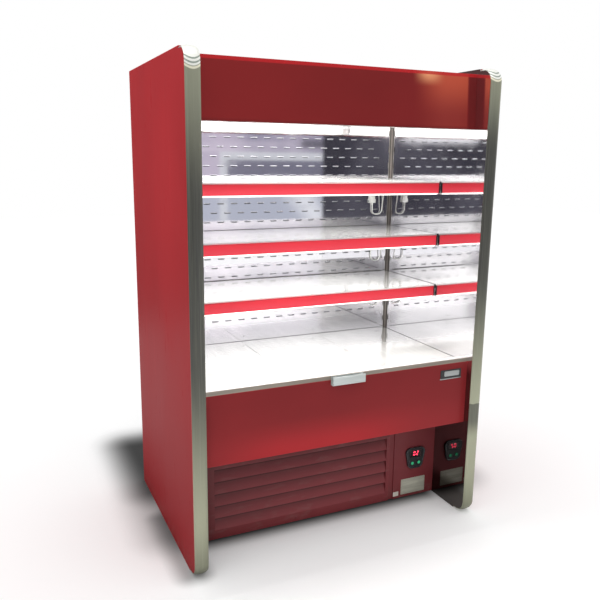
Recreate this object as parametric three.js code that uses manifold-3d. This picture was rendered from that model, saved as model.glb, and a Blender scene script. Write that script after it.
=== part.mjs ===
// Open multideck display fridge: red insulated ends with steel noses, three lit shelves,
// a steel base deck, a red front panel, a recessed machine compartment and a night blind.
// Millimetres, +Z up, front towards -Y, origin on the floor at the middle of the plan.

import * as THREE from 'three';
import { mergeVertices, mergeGeometries } from 'three/addons/utils/BufferGeometryUtils.js';
import Module from 'manifold-3d';

// ---------------------------------------------------------------- driving sizes

// Body
const overallWidth = 1200;
const overallDepth = 835;
const overallHeight = 1785;
const endPanelThickness = 50;
const cornerRadius = 50;
const panelFloorGap = 3;
const noseThickness = 8;
const noseBulge = 6;
const noseTail = 20;
const steelSheet = 1.2;
const panelSkin = 1;
const paintedSheet = 1.5;
const fitGap = 0.3;
const cutterReach = 5;
const cornerSteps = 8;
const noseCrownSteps = 6;

// Rear wall, air duct and roof
const rearSetback = 1;
const rearInsulation = 50;
const airDuctDepth = 100;
const roofInsulation = 48;
const ceilingDrop = 176;
const ceilingFold = 30;
const guideLedgeDepth = 6;

// Canopy
const canopyTopDrop = 17;
const canopyHeight = 202;
const canopyTopSetback = 88;
const canopyBottomSetback = 78;
const canopyTopFold = 30;
const canopyBottomFold = 9;

// Base well, deck and front panel
const fasciaSetback = 36;
const fasciaBottomHeight = 401;
const fasciaTopHeight = 659;
const fasciaReturn = 30;
const lipTopHeight = 674;
const lipDepth = 32.5;
const lipInnerDrop = 34;
const deckHeight = 653;
const deckFold = 20;
const deckRearGap = 4;
const deckNotchGap = 1;
const wellFloor = 40;
const wellSideWall = 15;
const wellSkin = 2;
const returnGrilleDepth = 48;
const returnSlotWidth = 14;
const returnSlotLength = 34;
const returnSlotPitch = 28;

// Shelves
const lowestShelfHeight = 931;
const uprightSlotPitch = 72;
const slotsPerShelf = 3;
const shelfCount = 3;
const shelfFrontSetback = 280.5;
const shelfEndGap = 2;
const shelfFrontFold = 40;
const shelfSideFold = 14;
const bracketThickness = 2;
const bracketRearHeight = 62;
const bracketFrontHeight = 22;
const bracketLength = 330;
const hookHeight = 12;
const hookReach = 6;

// Shelf uprights
const uprightWidth = 30;
const uprightDepth = 14;
const uprightWall = 1.5;
const uprightSlotWidth = 5;
const uprightSlotHeight = 24;
const uprightSlotEdge = 12;

// Ticket strips and shelf lights
const stripHeight = 41;
const stripDrop = 6;
const stripBack = 1.5;
const stripLip = 4;
const stripEndGap = 4;
const lightDepth = 24;
const lightHeight = 16;
const lightDrop = 6;
const lightEndGap = 12;
const lightFrontChamfer = 3;
const lightRearChamfer = 8;

// Leads of the shelf lights
const leadDiameter = 5;
const leadPlugWidth = 30;
const leadPlugHeight = 32;
const leadPlugDepth = 12;
const leadPlugInset = 88;
const leadPlugDrop = 112;
const leadLoopDrop = 165;
const leadRunDrop = 14;
const leadSideGap = 8;
const leadBend = 11;
const leadExitDrop = 4;
const leadSlope = 40;

// Punched slots of the rear duct panel
const wallSlotWidth = 27;
const wallSlotHeight = 5;
const wallSlotPitch = 60;
const wallSlotRowPitch = 39;
const wallSlotEdge = 60;
const wallSlotsAboveShelf = 3;
const wallSlotsBelowShelf = 100;

// Air discharge and canopy lamp
const honeycombDepth = 56;
const honeycombHeight = 22;
const honeycombCell = 55;
const honeycombRows = 2;
const honeycombWall = 1.6;
const lampWidth = 26;
const lampHeight = 18;
const lampSideHeight = 6;
const lampEndGap = 25;
const lampSetback = 20;

// Night blind
const rollRadius = 24;
const rollerAxisSetback = 126.5;
const rollerAxisDrop = 100;
const rollerPinRadius = 5;
const rollerPinLength = 5;
const earHalf = 16;
const earThickness = 2;
const blindEndGap = 6;
const blindThickness = 0.8;
const pullBarDepth = 8;
const pullBarHeight = 22;
const pullBarChamfer = 2;
const pullBarParkedDrop = 9;
const pullBarHookedHeight = 661;
const pullBarHookedSetback = 26;

// Blind catch
const catchWidth = 134;
const catchHeight = 33;
const catchDepth = 20;
const catchCurl = 3.5;

// Lower front
const lowerPanelSetback = 224;
const lowerPanelTopGap = 2;
const lowerPanelFold = 18;
const louvreCount = 5;
const louvrePitch = 50;
const louvreTopHeight = 292;
const louvreDepth = 16;
const louvreOverlap = 5;
const louvreThickness = 1.5;
const louvreLeftMargin = 92;
const louvreRightMargin = 14;
const postWidth = 25;
const postSetback = 4;
const controlPanelWidth = 205;

// Controller
const controllerWidth = 96;
const controllerHeight = 94;
const controllerCorner = 22;
const controllerFootShare = 0.8;
const controllerProud = 9;
const controllerBoxWidth = 66;
const controllerBoxHeight = 74;
const controllerBoxDepth = 58;
const controllerCentreHeight = 183;
const controllerCentreFromRight = 101;
const displayWidth = 58;
const displayHeight = 32;
const displayRise = 22;
const displayThickness = 2;
const keyDiameter = 15;
const keySpacing = 33;
const keyDrop = 22;
const keyLength = 6;
const keyProud = 1.6;
const keyTravel = 0.8;

// Chassis and feet
const chassisHeight = 20;
const chassisSheet = 2;
const chassisRim = 34;
const footPadRadius = 24;
const footPadHeight = 8;
const footStemRadius = 6;
const footInset = 75;
const footBarWidth = 40;
const footBarHeight = 4;

// Machine compartment
const condenserWidth = 470;
const condenserHeight = 300;
const condenserDepth = 66;
const condenserLeftGap = 70;
const condenserFrontGap = 30;
const finCount = 22;
const finSpine = 8;
const condenserFanRadius = 132;
const fanTipGap = 6;
const shroudDepth = 44;
const shroudSheet = 2;
const condenserMotorRadius = 44;
const condenserMotorLength = 62;
const compressorRadius = 80;
const compressorHeight = 228;
const compressorFromRight = 210;
const compressorFromRear = 250;
const compressorFoot = 14;
const compressorPortShare = 0.7;
const trayWidth = 420;
const trayDepth = 170;
const trayHeight = 38;
const trayWall = 2;
const trayInset = 20;
const rearGrilleSetback = 28;
const rearSlotWidth = 150;
const rearSlotHeight = 12;
const rearSlotPitch = 34;
const rearSlotColumns = 4;
const rearSlotRows = 7;
const rearSlotMargin = 50;
const glandRadius = 13;
const glandCapRadius = 10.5;
const glandStemRadius = 8;
const glandBore = 4.5;
const glandLength = 22;
const glandNutLength = 10;
const glandStemLength = 14;
const glandFromRight = 70;
const glandHeight = 90;

// Evaporator
const evaporatorEndGap = 120;
const evaporatorHeight = 150;
const evaporatorDepth = 130;
const evaporatorRearGap = 60;
const evaporatorFinCount = 30;
const fanPlateFromCoil = 46;
const fanPlateSheet = 2;
const fanPlateDrop = 8;
const evaporatorFanEdge = 15.1;
const evaporatorFanSpacing = 430;
const evaporatorMotorRadius = 32;
const evaporatorMotorLength = 26;
const fanHubRadius = 26;
const fanHubLength = 20;
const motorStandOff = 14;
const motorArmWidth = 10;
const motorArmThickness = 3;
const motorFootGap = 4;
const bladeCount = 5;
const bladeThickness = 2.4;
const bladePitchAngle = 28;
const bladeChord = 0.3;
const bladeArmGap = 6;
const shaftRadius = 4;

// Pipes
const suctionDiameter = 16;
const suctionBend = 14;
const suctionPortRise = 40;
const liquidDiameter = 10;
const liquidBend = 12;
const liquidPortRise = 110;
const liquidLineHeight = 120;
const suctionPortInset = 60;
const liquidPortInset = 30;
const pipeHoleRadius = 24;
const pipeHoleFromRight = 60;
const pipeHoleFromRear = 75;

// ---------------------------------------------------------------- planes worked out from them

const halfWidth = overallWidth / 2;
const frontY = -overallDepth / 2;
const rearY = overallDepth / 2;
const innerHalf = halfWidth - endPanelThickness;
const fittedHalf = innerHalf - fitGap;
const canopyTopHeight = overallHeight - canopyTopDrop;
const canopyBottomHeight = canopyTopHeight - canopyHeight;
const ceilingHeight = canopyTopHeight - ceilingDrop;
const rollerAxisHeight = canopyTopHeight - rollerAxisDrop;
const pullBarParkedHeight = ceilingHeight - pullBarParkedDrop;
const rearPanelRear = rearY - rearSetback;
const rearPanelFront = rearPanelRear - rearInsulation;
const ductPanelRear = rearPanelFront - airDuctDepth;
const ductPanelFront = ductPanelRear - steelSheet;
const fasciaFront = frontY + fasciaSetback;
const wellBottom = fasciaBottomHeight + paintedSheet + fitGap;
const wellFloorTop = wellBottom + wellFloor;
const wellFront = fasciaFront + paintedSheet + fitGap;
const lipRear = fasciaFront + lipDepth;
const wellInnerFront = lipRear - steelSheet - fitGap;
const wellRear = rearPanelFront - fitGap;
const deckBottom = deckHeight - steelSheet;
const wellSideTop = deckBottom - fitGap;
const grilleFront = lipRear + fitGap;
const deckFront = grilleFront + returnGrilleDepth + fitGap;
const deckRear = ductPanelFront - deckRearGap;
const uprightFront = ductPanelFront - fitGap - uprightDepth;
const uprightOuter = innerHalf - fitGap;
const uprightBottom = deckHeight + fitGap;
const uprightTop = ceilingHeight - fitGap;
const shelfFront = frontY + shelfFrontSetback;
const shelfRear = uprightFront - 1;
const shelfHalf = innerHalf - shelfEndGap;
const shelfSpacing = uprightSlotPitch * slotsPerShelf;
const roofTop = canopyTopHeight - paintedSheet - fitGap;
const roofBottom = roofTop - roofInsulation;
const canopyTopY = frontY + canopyTopSetback;
const canopyBottomY = frontY + canopyBottomSetback;
const rollerY = frontY + rollerAxisSetback;
const guideFront = rollerY + rollRadius + 3;
const honeycombFront = guideFront + steelSheet + fitGap;
const honeycombRear = honeycombFront + honeycombDepth;
const lowerPanelFront = frontY + lowerPanelSetback;
const lowerPanelRear = lowerPanelFront + paintedSheet;
const lowerPanelBottom = panelFloorGap + 3;
const lowerPanelTop = fasciaBottomHeight - lowerPanelTopGap;
const controlLeft = fittedHalf - controlPanelWidth;
const postLeft = controlLeft - fitGap - postWidth;
const louvrePanelRight = postLeft - fitGap;
const controllerX = innerHalf - controllerCentreFromRight;
const chassisFront = lowerPanelRear + lowerPanelFold + 4;
const rearGrilleY = rearY - rearGrilleSetback;
const chassisRear = rearGrilleY - fitGap;
const chassisTop = chassisHeight + chassisSheet;

// Machine compartment
const condenserX0 = -innerHalf + condenserLeftGap;
const condenserX1 = condenserX0 + condenserWidth;
const condenserY0 = chassisFront + condenserFrontGap;
const condenserY1 = condenserY0 + condenserDepth;
const condenserZ0 = chassisTop + fitGap;
const condenserZ1 = condenserZ0 + condenserHeight;
const condenserFanX = (condenserX0 + condenserX1) / 2;
const condenserFanZ = (condenserZ0 + condenserZ1) / 2;
const shroudY0 = condenserY1 + fitGap;
const shroudY1 = shroudY0 + shroudDepth;
const compressorX = innerHalf - compressorFromRight;
const compressorY = chassisRear - compressorFromRear;
const glandX = innerHalf - glandFromRight;

// Evaporator in the well
const evaporatorWidth = 2 * (innerHalf - evaporatorEndGap);
const coilY1 =wellRear - evaporatorRearGap;
const coilY0 = coilY1 - evaporatorDepth;
const coilZ0 = wellFloorTop + fitGap;
const coilZ1 = coilZ0 + evaporatorHeight;
const fanPlateRear = coilY0 - fanPlateFromCoil;
const fanPlateFront = fanPlateRear - fanPlateSheet;
const fanPlateTop = deckHeight - deckFold - fanPlateDrop;
const evaporatorFanZ = (wellFloorTop + fanPlateTop) / 2;
const evaporatorFanRadius = (fanPlateTop - wellFloorTop) / 2 - evaporatorFanEdge;
const pipeHoleX = innerHalf - pipeHoleFromRight;
const pipeHoleY = rearPanelFront - pipeHoleFromRear;

// Straight path of the pull bar, from its parked place to its place in the catch
const pullBarHookedY = frontY + pullBarHookedSetback;
const rollFrontY = rollerY - rollRadius;
const pathFall = rollerAxisHeight - pullBarHookedHeight;
const pathSlope = (rollFrontY - pullBarHookedY) / pathFall;
const pullBarParkedY = rollFrontY - pathSlope * (rollerAxisHeight - pullBarParkedHeight);

// ---------------------------------------------------------------- finishes

const finish = (color, roughness, metalness) => ({ color, roughness, metalness });
const redPaint = finish(0xa32a30, 0.42, 0.0);
const darkRedPaint = finish(0x7c262b, 0.4, 0.0);
const stripRed = finish(0xe02a38, 0.4, 0.0);
const brushedSteel = finish(0xa9ab9f, 0.34, 1.0);
const polishedSteel = finish(0xd9dbdc, 0.12, 1.0);
const plainSteel = finish(0xb9bcc0, 0.4, 1.0);
const galvanised = finish(0x9fa4a6, 0.5, 0.9);
const aluminium = finish(0xc9cccf, 0.35, 1.0);
const whitePlastic = finish(0xf2f2f0, 0.45, 0.0);
const litDiffuser = finish(0xffffff, 0.3, 0.0);
const blackPlastic = finish(0x17181a, 0.35, 0.0);
const displayRed = finish(0x5a0b10, 0.15, 0.0);
const keyGreen = finish(0x1f7d4c, 0.35, 0.0);
const blackPaint = finish(0x222426, 0.45, 0.2);
const copper = finish(0xb8734a, 0.35, 1.0);
const blindGrey = finish(0xd9dcdd, 0.7, 0.1);

// ---------------------------------------------------------------- solids

const wasm = await Module();
wasm.setup();

/** Box between two corners; the two x values may come in either order. */
function box(xa, xb, y0, y1, z0, z1) {
  const solid = new THREE.BoxGeometry(Math.abs(xb - xa), y1 - y0, z1 - z0);
  return solid.translate((xa + xb) / 2, (y0 + y1) / 2, (z0 + z1) / 2);
}

/** Shape through a list of [u, v] points. */
function shapeOf(points) {
  return new THREE.Shape(points.map(([u, v]) => new THREE.Vector2(u, v)));
}

/** Outline in [y, z], drawn out along X between two planes given in either order. */
function alongX(points, xa, xb) {
  const depth = Math.abs(xb - xa);
  const solid = new THREE.ExtrudeGeometry(shapeOf(points), { depth, bevelEnabled: false });
  const turn = new THREE.Matrix4().makeBasis(
    new THREE.Vector3(0, 1, 0),
    new THREE.Vector3(0, 0, 1),
    new THREE.Vector3(1, 0, 0),
  );
  return solid.applyMatrix4(turn).translate(Math.min(xa, xb), 0, 0);
}

/** Outline in [x, z], drawn out along Y. */
function alongY(shape, y0, y1) {
  const solid = new THREE.ExtrudeGeometry(shape, { depth: y1 - y0, bevelEnabled: false, curveSegments: 6 });
  return solid.rotateX(Math.PI / 2).translate(0, y1, 0);
}

/** Outline in [x, y], drawn out along Z. */
function alongZ(points, z0, z1) {
  const solid = new THREE.ExtrudeGeometry(shapeOf(points), { depth: z1 - z0, bevelEnabled: false });
  return solid.translate(0, 0, z0);
}

/** Cylinder with its axis along Y. */
function rodY(x, z, radius, y0, y1, sides) {
  const solid = new THREE.CylinderGeometry(radius, radius, y1 - y0, sides);
  return solid.translate(x, (y0 + y1) / 2, z);
}

/** Cylinder with its axis along Z. */
function rodZ(x, y, radius, z0, z1, sides) {
  const solid = new THREE.CylinderGeometry(radius, radius, z1 - z0, sides);
  return solid.rotateX(Math.PI / 2).translate(x, y, (z0 + z1) / 2);
}

/** Cylinder with its axis along X. */
function rodX(y, z, radius, x0, x1, sides) {
  const solid = new THREE.CylinderGeometry(radius, radius, x1 - x0, sides);
  return solid.rotateZ(Math.PI / 2).translate((x0 + x1) / 2, y, z);
}

/** Closed mesh with shared corners, as the boolean library wants it. */
function toManifold(geometry) {
  const bare = geometry.index ? geometry.clone() : mergeVertices(geometry.clone());
  bare.deleteAttribute('normal');
  bare.deleteAttribute('uv');
  const merged = mergeVertices(bare, 1e-4);
  return new wasm.Manifold(new wasm.Mesh({
    numProp: 3,
    vertProperties: new Float32Array(merged.attributes.position.array),
    triVerts: new Uint32Array(merged.index.array),
  }));
}

/** Geometry of a finished boolean. */
function fromManifold(solid) {
  const mesh = solid.getMesh();
  const geometry = new THREE.BufferGeometry();
  geometry.setAttribute('position', new THREE.BufferAttribute(new Float32Array(mesh.vertProperties), 3));
  geometry.setIndex(new THREE.BufferAttribute(new Uint32Array(mesh.triVerts), 1));
  return geometry;
}

/** One solid from pieces that run into each other. */
function join(pieces) {
  const solids = pieces.map(toManifold);
  return fromManifold(solids.reduce((sum, solid) => sum.add(solid)));
}

/** A solid less a list of cutters. */
function cut(body, cutters) {
  const tools = cutters.map(toManifold);
  return fromManifold(tools.reduce((rest, tool) => rest.subtract(tool), toManifold(body)));
}

/** Several separate solids in one mesh. */
function group(pieces) {
  const plain = pieces.map((piece) => {
    const bare = piece.clone();
    bare.deleteAttribute('normal');
    bare.deleteAttribute('uv');
    return mergeVertices(bare, 1e-4);
  });
  return mergeGeometries(plain);
}

/** Quarter-round points about a centre, from one angle to another in degrees. */
function arc(centreY, centreZ, radius, from, to, steps) {
  return Array.from({ length: steps + 1 }, (_, i) => {
    const angle = THREE.MathUtils.degToRad(from + ((to - from) * i) / steps);
    return [centreY + radius * Math.cos(angle), centreZ + radius * Math.sin(angle)];
  });
}

/** Rounded rectangle as a shape. */
function roundedRectangle(x, z, width, height, radius, footShare = 1) {
  const shape = new THREE.Shape();
  const foot = width * footShare;
  const [l, r, b, t] = [x - width / 2, x + width / 2, z - height / 2, z + height / 2];
  const [footL, footR] = [x - foot / 2, x + foot / 2];
  shape.moveTo(footL + radius, b);
  shape.lineTo(footR - radius, b);
  shape.absarc(footR - radius, b + radius, radius, -Math.PI / 2, 0);
  shape.lineTo(r, t - radius);
  shape.absarc(r - radius, t - radius, radius, 0, Math.PI / 2);
  shape.lineTo(l + radius, t);
  shape.absarc(l + radius, t - radius, radius, Math.PI / 2, Math.PI);
  shape.lineTo(footL, b + radius);
  shape.absarc(footL + radius, b + radius, radius, Math.PI, Math.PI * 1.5);
  return shape;
}

/** Round tube along straight runs whose corners are bent to a radius. */
function bentTube(points, diameter, bendRadius, sides, stepsPerBend) {
  const corners = points.map((p) => new THREE.Vector3(...p));
  const route = [corners[0]];
  for (let i = 1; i < corners.length - 1; i += 1) {
    const before = corners[i - 1].clone().sub(corners[i]).normalize();
    const after = corners[i + 1].clone().sub(corners[i]).normalize();
    const turn = Math.PI - before.angleTo(after);
    const cutBack = bendRadius * Math.tan(turn / 2);
    const enter = corners[i].clone().addScaledVector(before, cutBack);
    const leave = corners[i].clone().addScaledVector(after, cutBack);
    const bend = new THREE.QuadraticBezierCurve3(enter, corners[i], leave);
    route.push(...bend.getPoints(stepsPerBend));
  }
  route.push(corners[corners.length - 1]);
  return tubeThrough(route, diameter, sides);
}

/** Round tube through given points, with rings square to the run. */
function tubeThrough(route, diameter, sides) {
  const directions = route.map((point, i) => {
    const from = route[Math.max(i - 1, 0)];
    const to = route[Math.min(i + 1, route.length - 1)];
    return to.clone().sub(from).normalize();
  });
  let side = new THREE.Vector3(1, 0.37, 0.21).cross(directions[0]).normalize();
  const positions = [];
  route.forEach((point, i) => {
    side = side.sub(directions[i].clone().multiplyScalar(side.dot(directions[i]))).normalize();
    const up = directions[i].clone().cross(side);
    for (let k = 0; k < sides; k += 1) {
      const angle = (2 * Math.PI * k) / sides;
      const ring = point.clone()
        .addScaledVector(side, (diameter / 2) * Math.cos(angle))
        .addScaledVector(up, (diameter / 2) * Math.sin(angle));
      positions.push(ring.x, ring.y, ring.z);
    }
  });
  const index = [];
  for (let i = 0; i < route.length - 1; i += 1) {
    for (let k = 0; k < sides; k += 1) {
      const a = i * sides + k;
      const b = i * sides + ((k + 1) % sides);
      index.push(a, b, b + sides, a, b + sides, a + sides);
    }
  }
  const last = (route.length - 1) * sides;
  for (let k = 1; k < sides - 1; k += 1) {
    index.push(0, k + 1, k);
    index.push(last, last + k, last + k + 1);
  }
  const geometry = new THREE.BufferGeometry();
  geometry.setAttribute('position', new THREE.BufferAttribute(new Float32Array(positions), 3));
  geometry.setIndex(index);
  return geometry;
}

/** Convex section of [x, outward] points carried along [y, z] stations with outward normals. */
function carried(section, stations) {
  const positions = [];
  stations.forEach(({ y, z, ny, nz }) => {
    section.forEach(([x, out]) => positions.push(x, y + out * ny, z + out * nz));
  });
  const n = section.length;
  const index = [];
  for (let i = 0; i < stations.length - 1; i += 1) {
    for (let k = 0; k < n; k += 1) {
      const a = i * n + k;
      const b = i * n + ((k + 1) % n);
      index.push(a, b + n, b, a, a + n, b + n);
    }
  }
  const last = (stations.length - 1) * n;
  for (let k = 1; k < n - 1; k += 1) {
    index.push(0, k, k + 1);
    index.push(last, last + k + 1, last + k);
  }
  const geometry = new THREE.BufferGeometry();
  geometry.setAttribute('position', new THREE.BufferAttribute(new Float32Array(positions), 3));
  geometry.setIndex(index);
  return geometry;
}

// ---------------------------------------------------------------- the object

const fridge = new THREE.Group();

/** Adds one named piece. */
function piece(name, geometry, { color, roughness, metalness }) {
  geometry.computeVertexNormals();
  const material = new THREE.MeshStandardMaterial({ color, roughness, metalness });
  const mesh = new THREE.Mesh(geometry, material);
  mesh.name = name;
  fridge.add(mesh);
  return mesh;
}

/** Side outline of an end, rounded at both front corners and stepped back for the nose. */
function endOutline() {
  const step = noseThickness + fitGap;
  const top = overallHeight;
  const bottom = panelFloorGap;
  const centreY = frontY + cornerRadius;
  const stepY = centreY + noseTail + fitGap;
  const radius = cornerRadius - step;
  return [
    [rearY, bottom], [stepY, bottom], [stepY, bottom + step],
    ...arc(centreY, bottom + cornerRadius, radius, 270, 180, cornerSteps),
    ...arc(centreY, top - cornerRadius, radius, 180, 90, cornerSteps),
    [stepY, top - step], [stepY, top], [rearY, top],
  ];
}

/** Outline of the foam space inside an end. */
function endCoreOutline() {
  const inset = noseThickness + fitGap + panelSkin;
  const centreY = frontY + cornerRadius;
  const radius = cornerRadius - inset;
  return [
    [rearY - panelSkin, panelFloorGap + inset],
    ...arc(centreY, panelFloorGap + cornerRadius, radius, 270, 180, cornerSteps),
    ...arc(centreY, overallHeight - cornerRadius, radius, 180, 90, cornerSteps),
    [rearY - panelSkin, overallHeight - inset],
  ];
}

/** Painted pan of an insulated end, open on its inner side, which the lining closes. */
function endPanel(side) {
  const inner = side * (innerHalf + steelSheet + fitGap);
  const pan = alongX(endOutline(), side * halfWidth, inner);
  const core = alongX(endCoreOutline(), side * (halfWidth - panelSkin), inner - side * cutterReach);
  return cut(pan, [core]);
}

/** Mirror-polished sheet that lines the inner face of an end. */
function innerLining(side) {
  return alongX(endOutline(), side * innerHalf, side * (innerHalf + steelSheet));
}

/** Bulged steel nose that wraps the front edge of an end from top to bottom. */
function endNose(side) {
  const centre = side * (halfWidth - endPanelThickness / 2);
  const half = endPanelThickness / 2;
  const edge = noseThickness - noseBulge;
  const crown = Array.from({ length: noseCrownSteps + 1 }, (_, i) => {
    const share = -1 + (2 * i) / noseCrownSteps;
    return [centre + half * share, edge + noseBulge * Math.sqrt(1 - share * share)];
  });
  const section = [[centre - half, 0], ...crown, [centre + half, 0]];
  const top = overallHeight;
  const bottom = panelFloorGap;
  const centreY = frontY + cornerRadius;
  const radius = cornerRadius - noseThickness;
  const stations = [{ y: centreY + noseTail, z: top - noseThickness, ny: 0, nz: 1 }];
  const round = (centreZ, from, to) => {
    for (let i = 0; i <= cornerSteps; i += 1) {
      const angle = THREE.MathUtils.degToRad(from + ((to - from) * i) / cornerSteps);
      const ny = Math.cos(angle);
      const nz = Math.sin(angle);
      stations.push({ y: centreY + radius * ny, z: centreZ + radius * nz, ny, nz });
    }
  };
  round(top - cornerRadius, 90, 180);
  round(bottom + cornerRadius, 180, 270);
  stations.push({ y: centreY + noseTail, z: bottom + noseThickness, ny: 0, nz: -1 });
  return carried(section, stations);
}

/** Outer pan of the insulated wall behind the air duct. */
function rearPanel() {
  const skin = panelSkin;
  return cut(
    box(-fittedHalf, fittedHalf, rearPanelFront, rearPanelRear, wellBottom, roofTop),
    [box(
      -fittedHalf + skin, fittedHalf - skin, rearPanelFront - cutterReach, rearPanelRear - skin,
      wellBottom + skin, roofTop - skin,
    )],
  );
}

/** Polished panel at the back of the shelves, punched with staggered rows of slots. */
function ductPanel() {
  const bottom = wellSideTop + fitGap;
  const top = ceilingHeight - fitGap;
  const free = uprightOuter - uprightWidth - wallSlotWidth / 2;
  const reach = Math.floor(free / wallSlotPitch) * wallSlotPitch;
  const rows = Math.floor((top - deckHeight - 2 * wallSlotEdge) / wallSlotRowPitch) + 1;
  const cutters = [];
  for (let row = 0; row < rows; row += 1) {
    const z = top - wallSlotEdge - row * wallSlotRowPitch;
    const behindShelf = shelfTops().some(
      (height) => z < height + wallSlotsAboveShelf && z > height - wallSlotsBelowShelf,
    );
    const start = row % 2 ? wallSlotPitch / 2 - reach : -reach;
    for (let x = start; x <= reach && !behindShelf; x += wallSlotPitch) {
      cutters.push(box(
        x - wallSlotWidth / 2, x + wallSlotWidth / 2, ductPanelFront - cutterReach,
        ductPanelRear + cutterReach, z - wallSlotHeight / 2, z + wallSlotHeight / 2,
      ));
    }
  }
  const sheet = box(-fittedHalf, fittedHalf, ductPanelFront, ductPanelRear, bottom, top);
  return cut(sheet, [group(cutters)]);
}

/** Outer pan of the insulated roof over the top air duct. */
function roofPanel() {
  const skin = panelSkin;
  const rear = rearPanelFront - fitGap;
  return cut(
    box(-fittedHalf, fittedHalf, guideFront, rear, roofBottom, roofTop),
    [box(
      -fittedHalf + skin, fittedHalf - skin, guideFront + skin, rear - skin,
      roofBottom - cutterReach, roofTop - skin,
    )],
  );
}

/** Sheet between the top air duct and the top shelf space. */
function ceilingPanel() {
  const front = honeycombRear + fitGap;
  return join([
    box(-fittedHalf, fittedHalf, front, ductPanelRear, ceilingHeight, ceilingHeight + steelSheet),
    box(-fittedHalf, fittedHalf, front, front + steelSheet, ceilingHeight, ceilingHeight + ceilingFold),
  ]);
}

/** Front wall of the top air duct, with the two ears that carry the blind roller. */
function airGuide() {
  const ledgeTop = ceilingHeight - honeycombHeight - fitGap;
  const ledgeBottom = ledgeTop - steelSheet;
  const ears = [-1, 1].map((side) => box(
    side * fittedHalf, side * (fittedHalf - earThickness), rollerY - earHalf, guideFront + steelSheet,
    rollerAxisHeight - earHalf, rollerAxisHeight + earHalf,
  ));
  const ledge = box(
    -fittedHalf, fittedHalf, guideFront, guideFront + guideLedgeDepth, ledgeBottom, ledgeTop,
  );
  const wall = box(
    -fittedHalf, fittedHalf, guideFront, guideFront + steelSheet, ledgeBottom, roofBottom - fitGap,
  );
  const holes = [-1, 1].map((side) => rodX(
    rollerY, rollerAxisHeight, rollerPinRadius + fitGap,
    side * fittedHalf - cutterReach, side * fittedHalf + cutterReach, 16,
  ));
  return cut(join([wall, ledge, ...ears]), holes);
}

/** Grid that straightens the cold air as it leaves the top duct. */
function honeycomb() {
  const bottom = ceilingHeight - honeycombHeight;
  const half = fittedHalf;
  const across = honeycombDepth / honeycombRows;
  const columns = Math.floor((2 * half - honeycombWall) / honeycombCell);
  const along = (2 * half - honeycombWall) / columns;
  const cells = [];
  for (let i = 0; i < columns; i += 1) {
    for (let k = 0; k < honeycombRows; k += 1) {
      const x0 = -half + honeycombWall + i * along;
      const y0 = honeycombFront + honeycombWall + k * (across - honeycombWall / honeycombRows);
      cells.push(box(
        x0, x0 + along - honeycombWall, y0, y0 + across - honeycombWall * 1.5,
        bottom - cutterReach, ceilingHeight + cutterReach,
      ));
    }
  }
  return cut(box(-half, half, honeycombFront, honeycombRear, bottom, ceilingHeight), [group(cells)]);
}

/** Red canopy: top fold, leaning face and a short bottom fold. */
function canopy() {
  const t = paintedSheet;
  const outline = [
    [canopyBottomY + canopyBottomFold, canopyBottomHeight],
    [canopyBottomY + canopyBottomFold, canopyBottomHeight + t],
    [canopyBottomY + t, canopyBottomHeight + t],
    [canopyTopY + t, canopyTopHeight - t],
    [guideFront + canopyTopFold, canopyTopHeight - t],
    [guideFront + canopyTopFold, canopyTopHeight],
    [canopyTopY + 1, canopyTopHeight],
    [canopyTopY, canopyTopHeight - 1],
    [canopyBottomY, canopyBottomHeight],
  ];
  return alongX(outline, -fittedHalf, fittedHalf);
}

/** Lamp under the ceiling, behind the air grid. */
function canopyLamp() {
  const y = honeycombRear + lampSetback;
  const z = ceilingHeight - fitGap;
  const side = lampSideHeight;
  const outline = [
    [y, z], [y, z - side], [y + side, z - lampHeight], [y + lampWidth - side, z - lampHeight],
    [y + lampWidth, z - side], [y + lampWidth, z],
  ];
  return alongX(outline, -innerHalf + lampEndGap, innerHalf - lampEndGap);
}

/** Heights of the shelf surfaces, from the lowest up. */
function shelfTops() {
  return Array.from({ length: shelfCount }, (_, i) => lowestShelfHeight + i * shelfSpacing);
}

/** Height of the hook slot that carries a shelf. */
function hookBottom(shelfTop) {
  return shelfTop - shelfSideFold - hookHeight;
}

/** Slotted channel at a rear corner. */
function upright(side) {
  const x = side * (uprightOuter - uprightWidth / 2);
  const x0 = x - uprightWidth / 2;
  const x1 = x + uprightWidth / 2;
  const y0 = uprightFront;
  const y1 = uprightFront + uprightDepth;
  const w = uprightWall;
  const channel = alongZ(
    [
      [x0, y1], [x0, y0], [x1, y0], [x1, y1],
      [x1 - w, y1], [x1 - w, y0 + w], [x0 + w, y0 + w], [x0 + w, y1],
    ],
    uprightBottom, uprightTop,
  );
  const first = hookBottom(lowestShelfHeight) - fitGap;
  const below = Math.floor((first - uprightBottom - uprightSlotEdge) / uprightSlotPitch);
  const highest = uprightTop - uprightSlotEdge - uprightSlotHeight;
  const slots = [];
  for (let z = first - below * uprightSlotPitch; z < highest; z += uprightSlotPitch) {
    slots.push(box(
      x - uprightSlotWidth / 2, x + uprightSlotWidth / 2, y0 - cutterReach, y0 + cutterReach,
      z, z + uprightSlotHeight,
    ));
  }
  return cut(channel, [group(slots)]);
}

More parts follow.
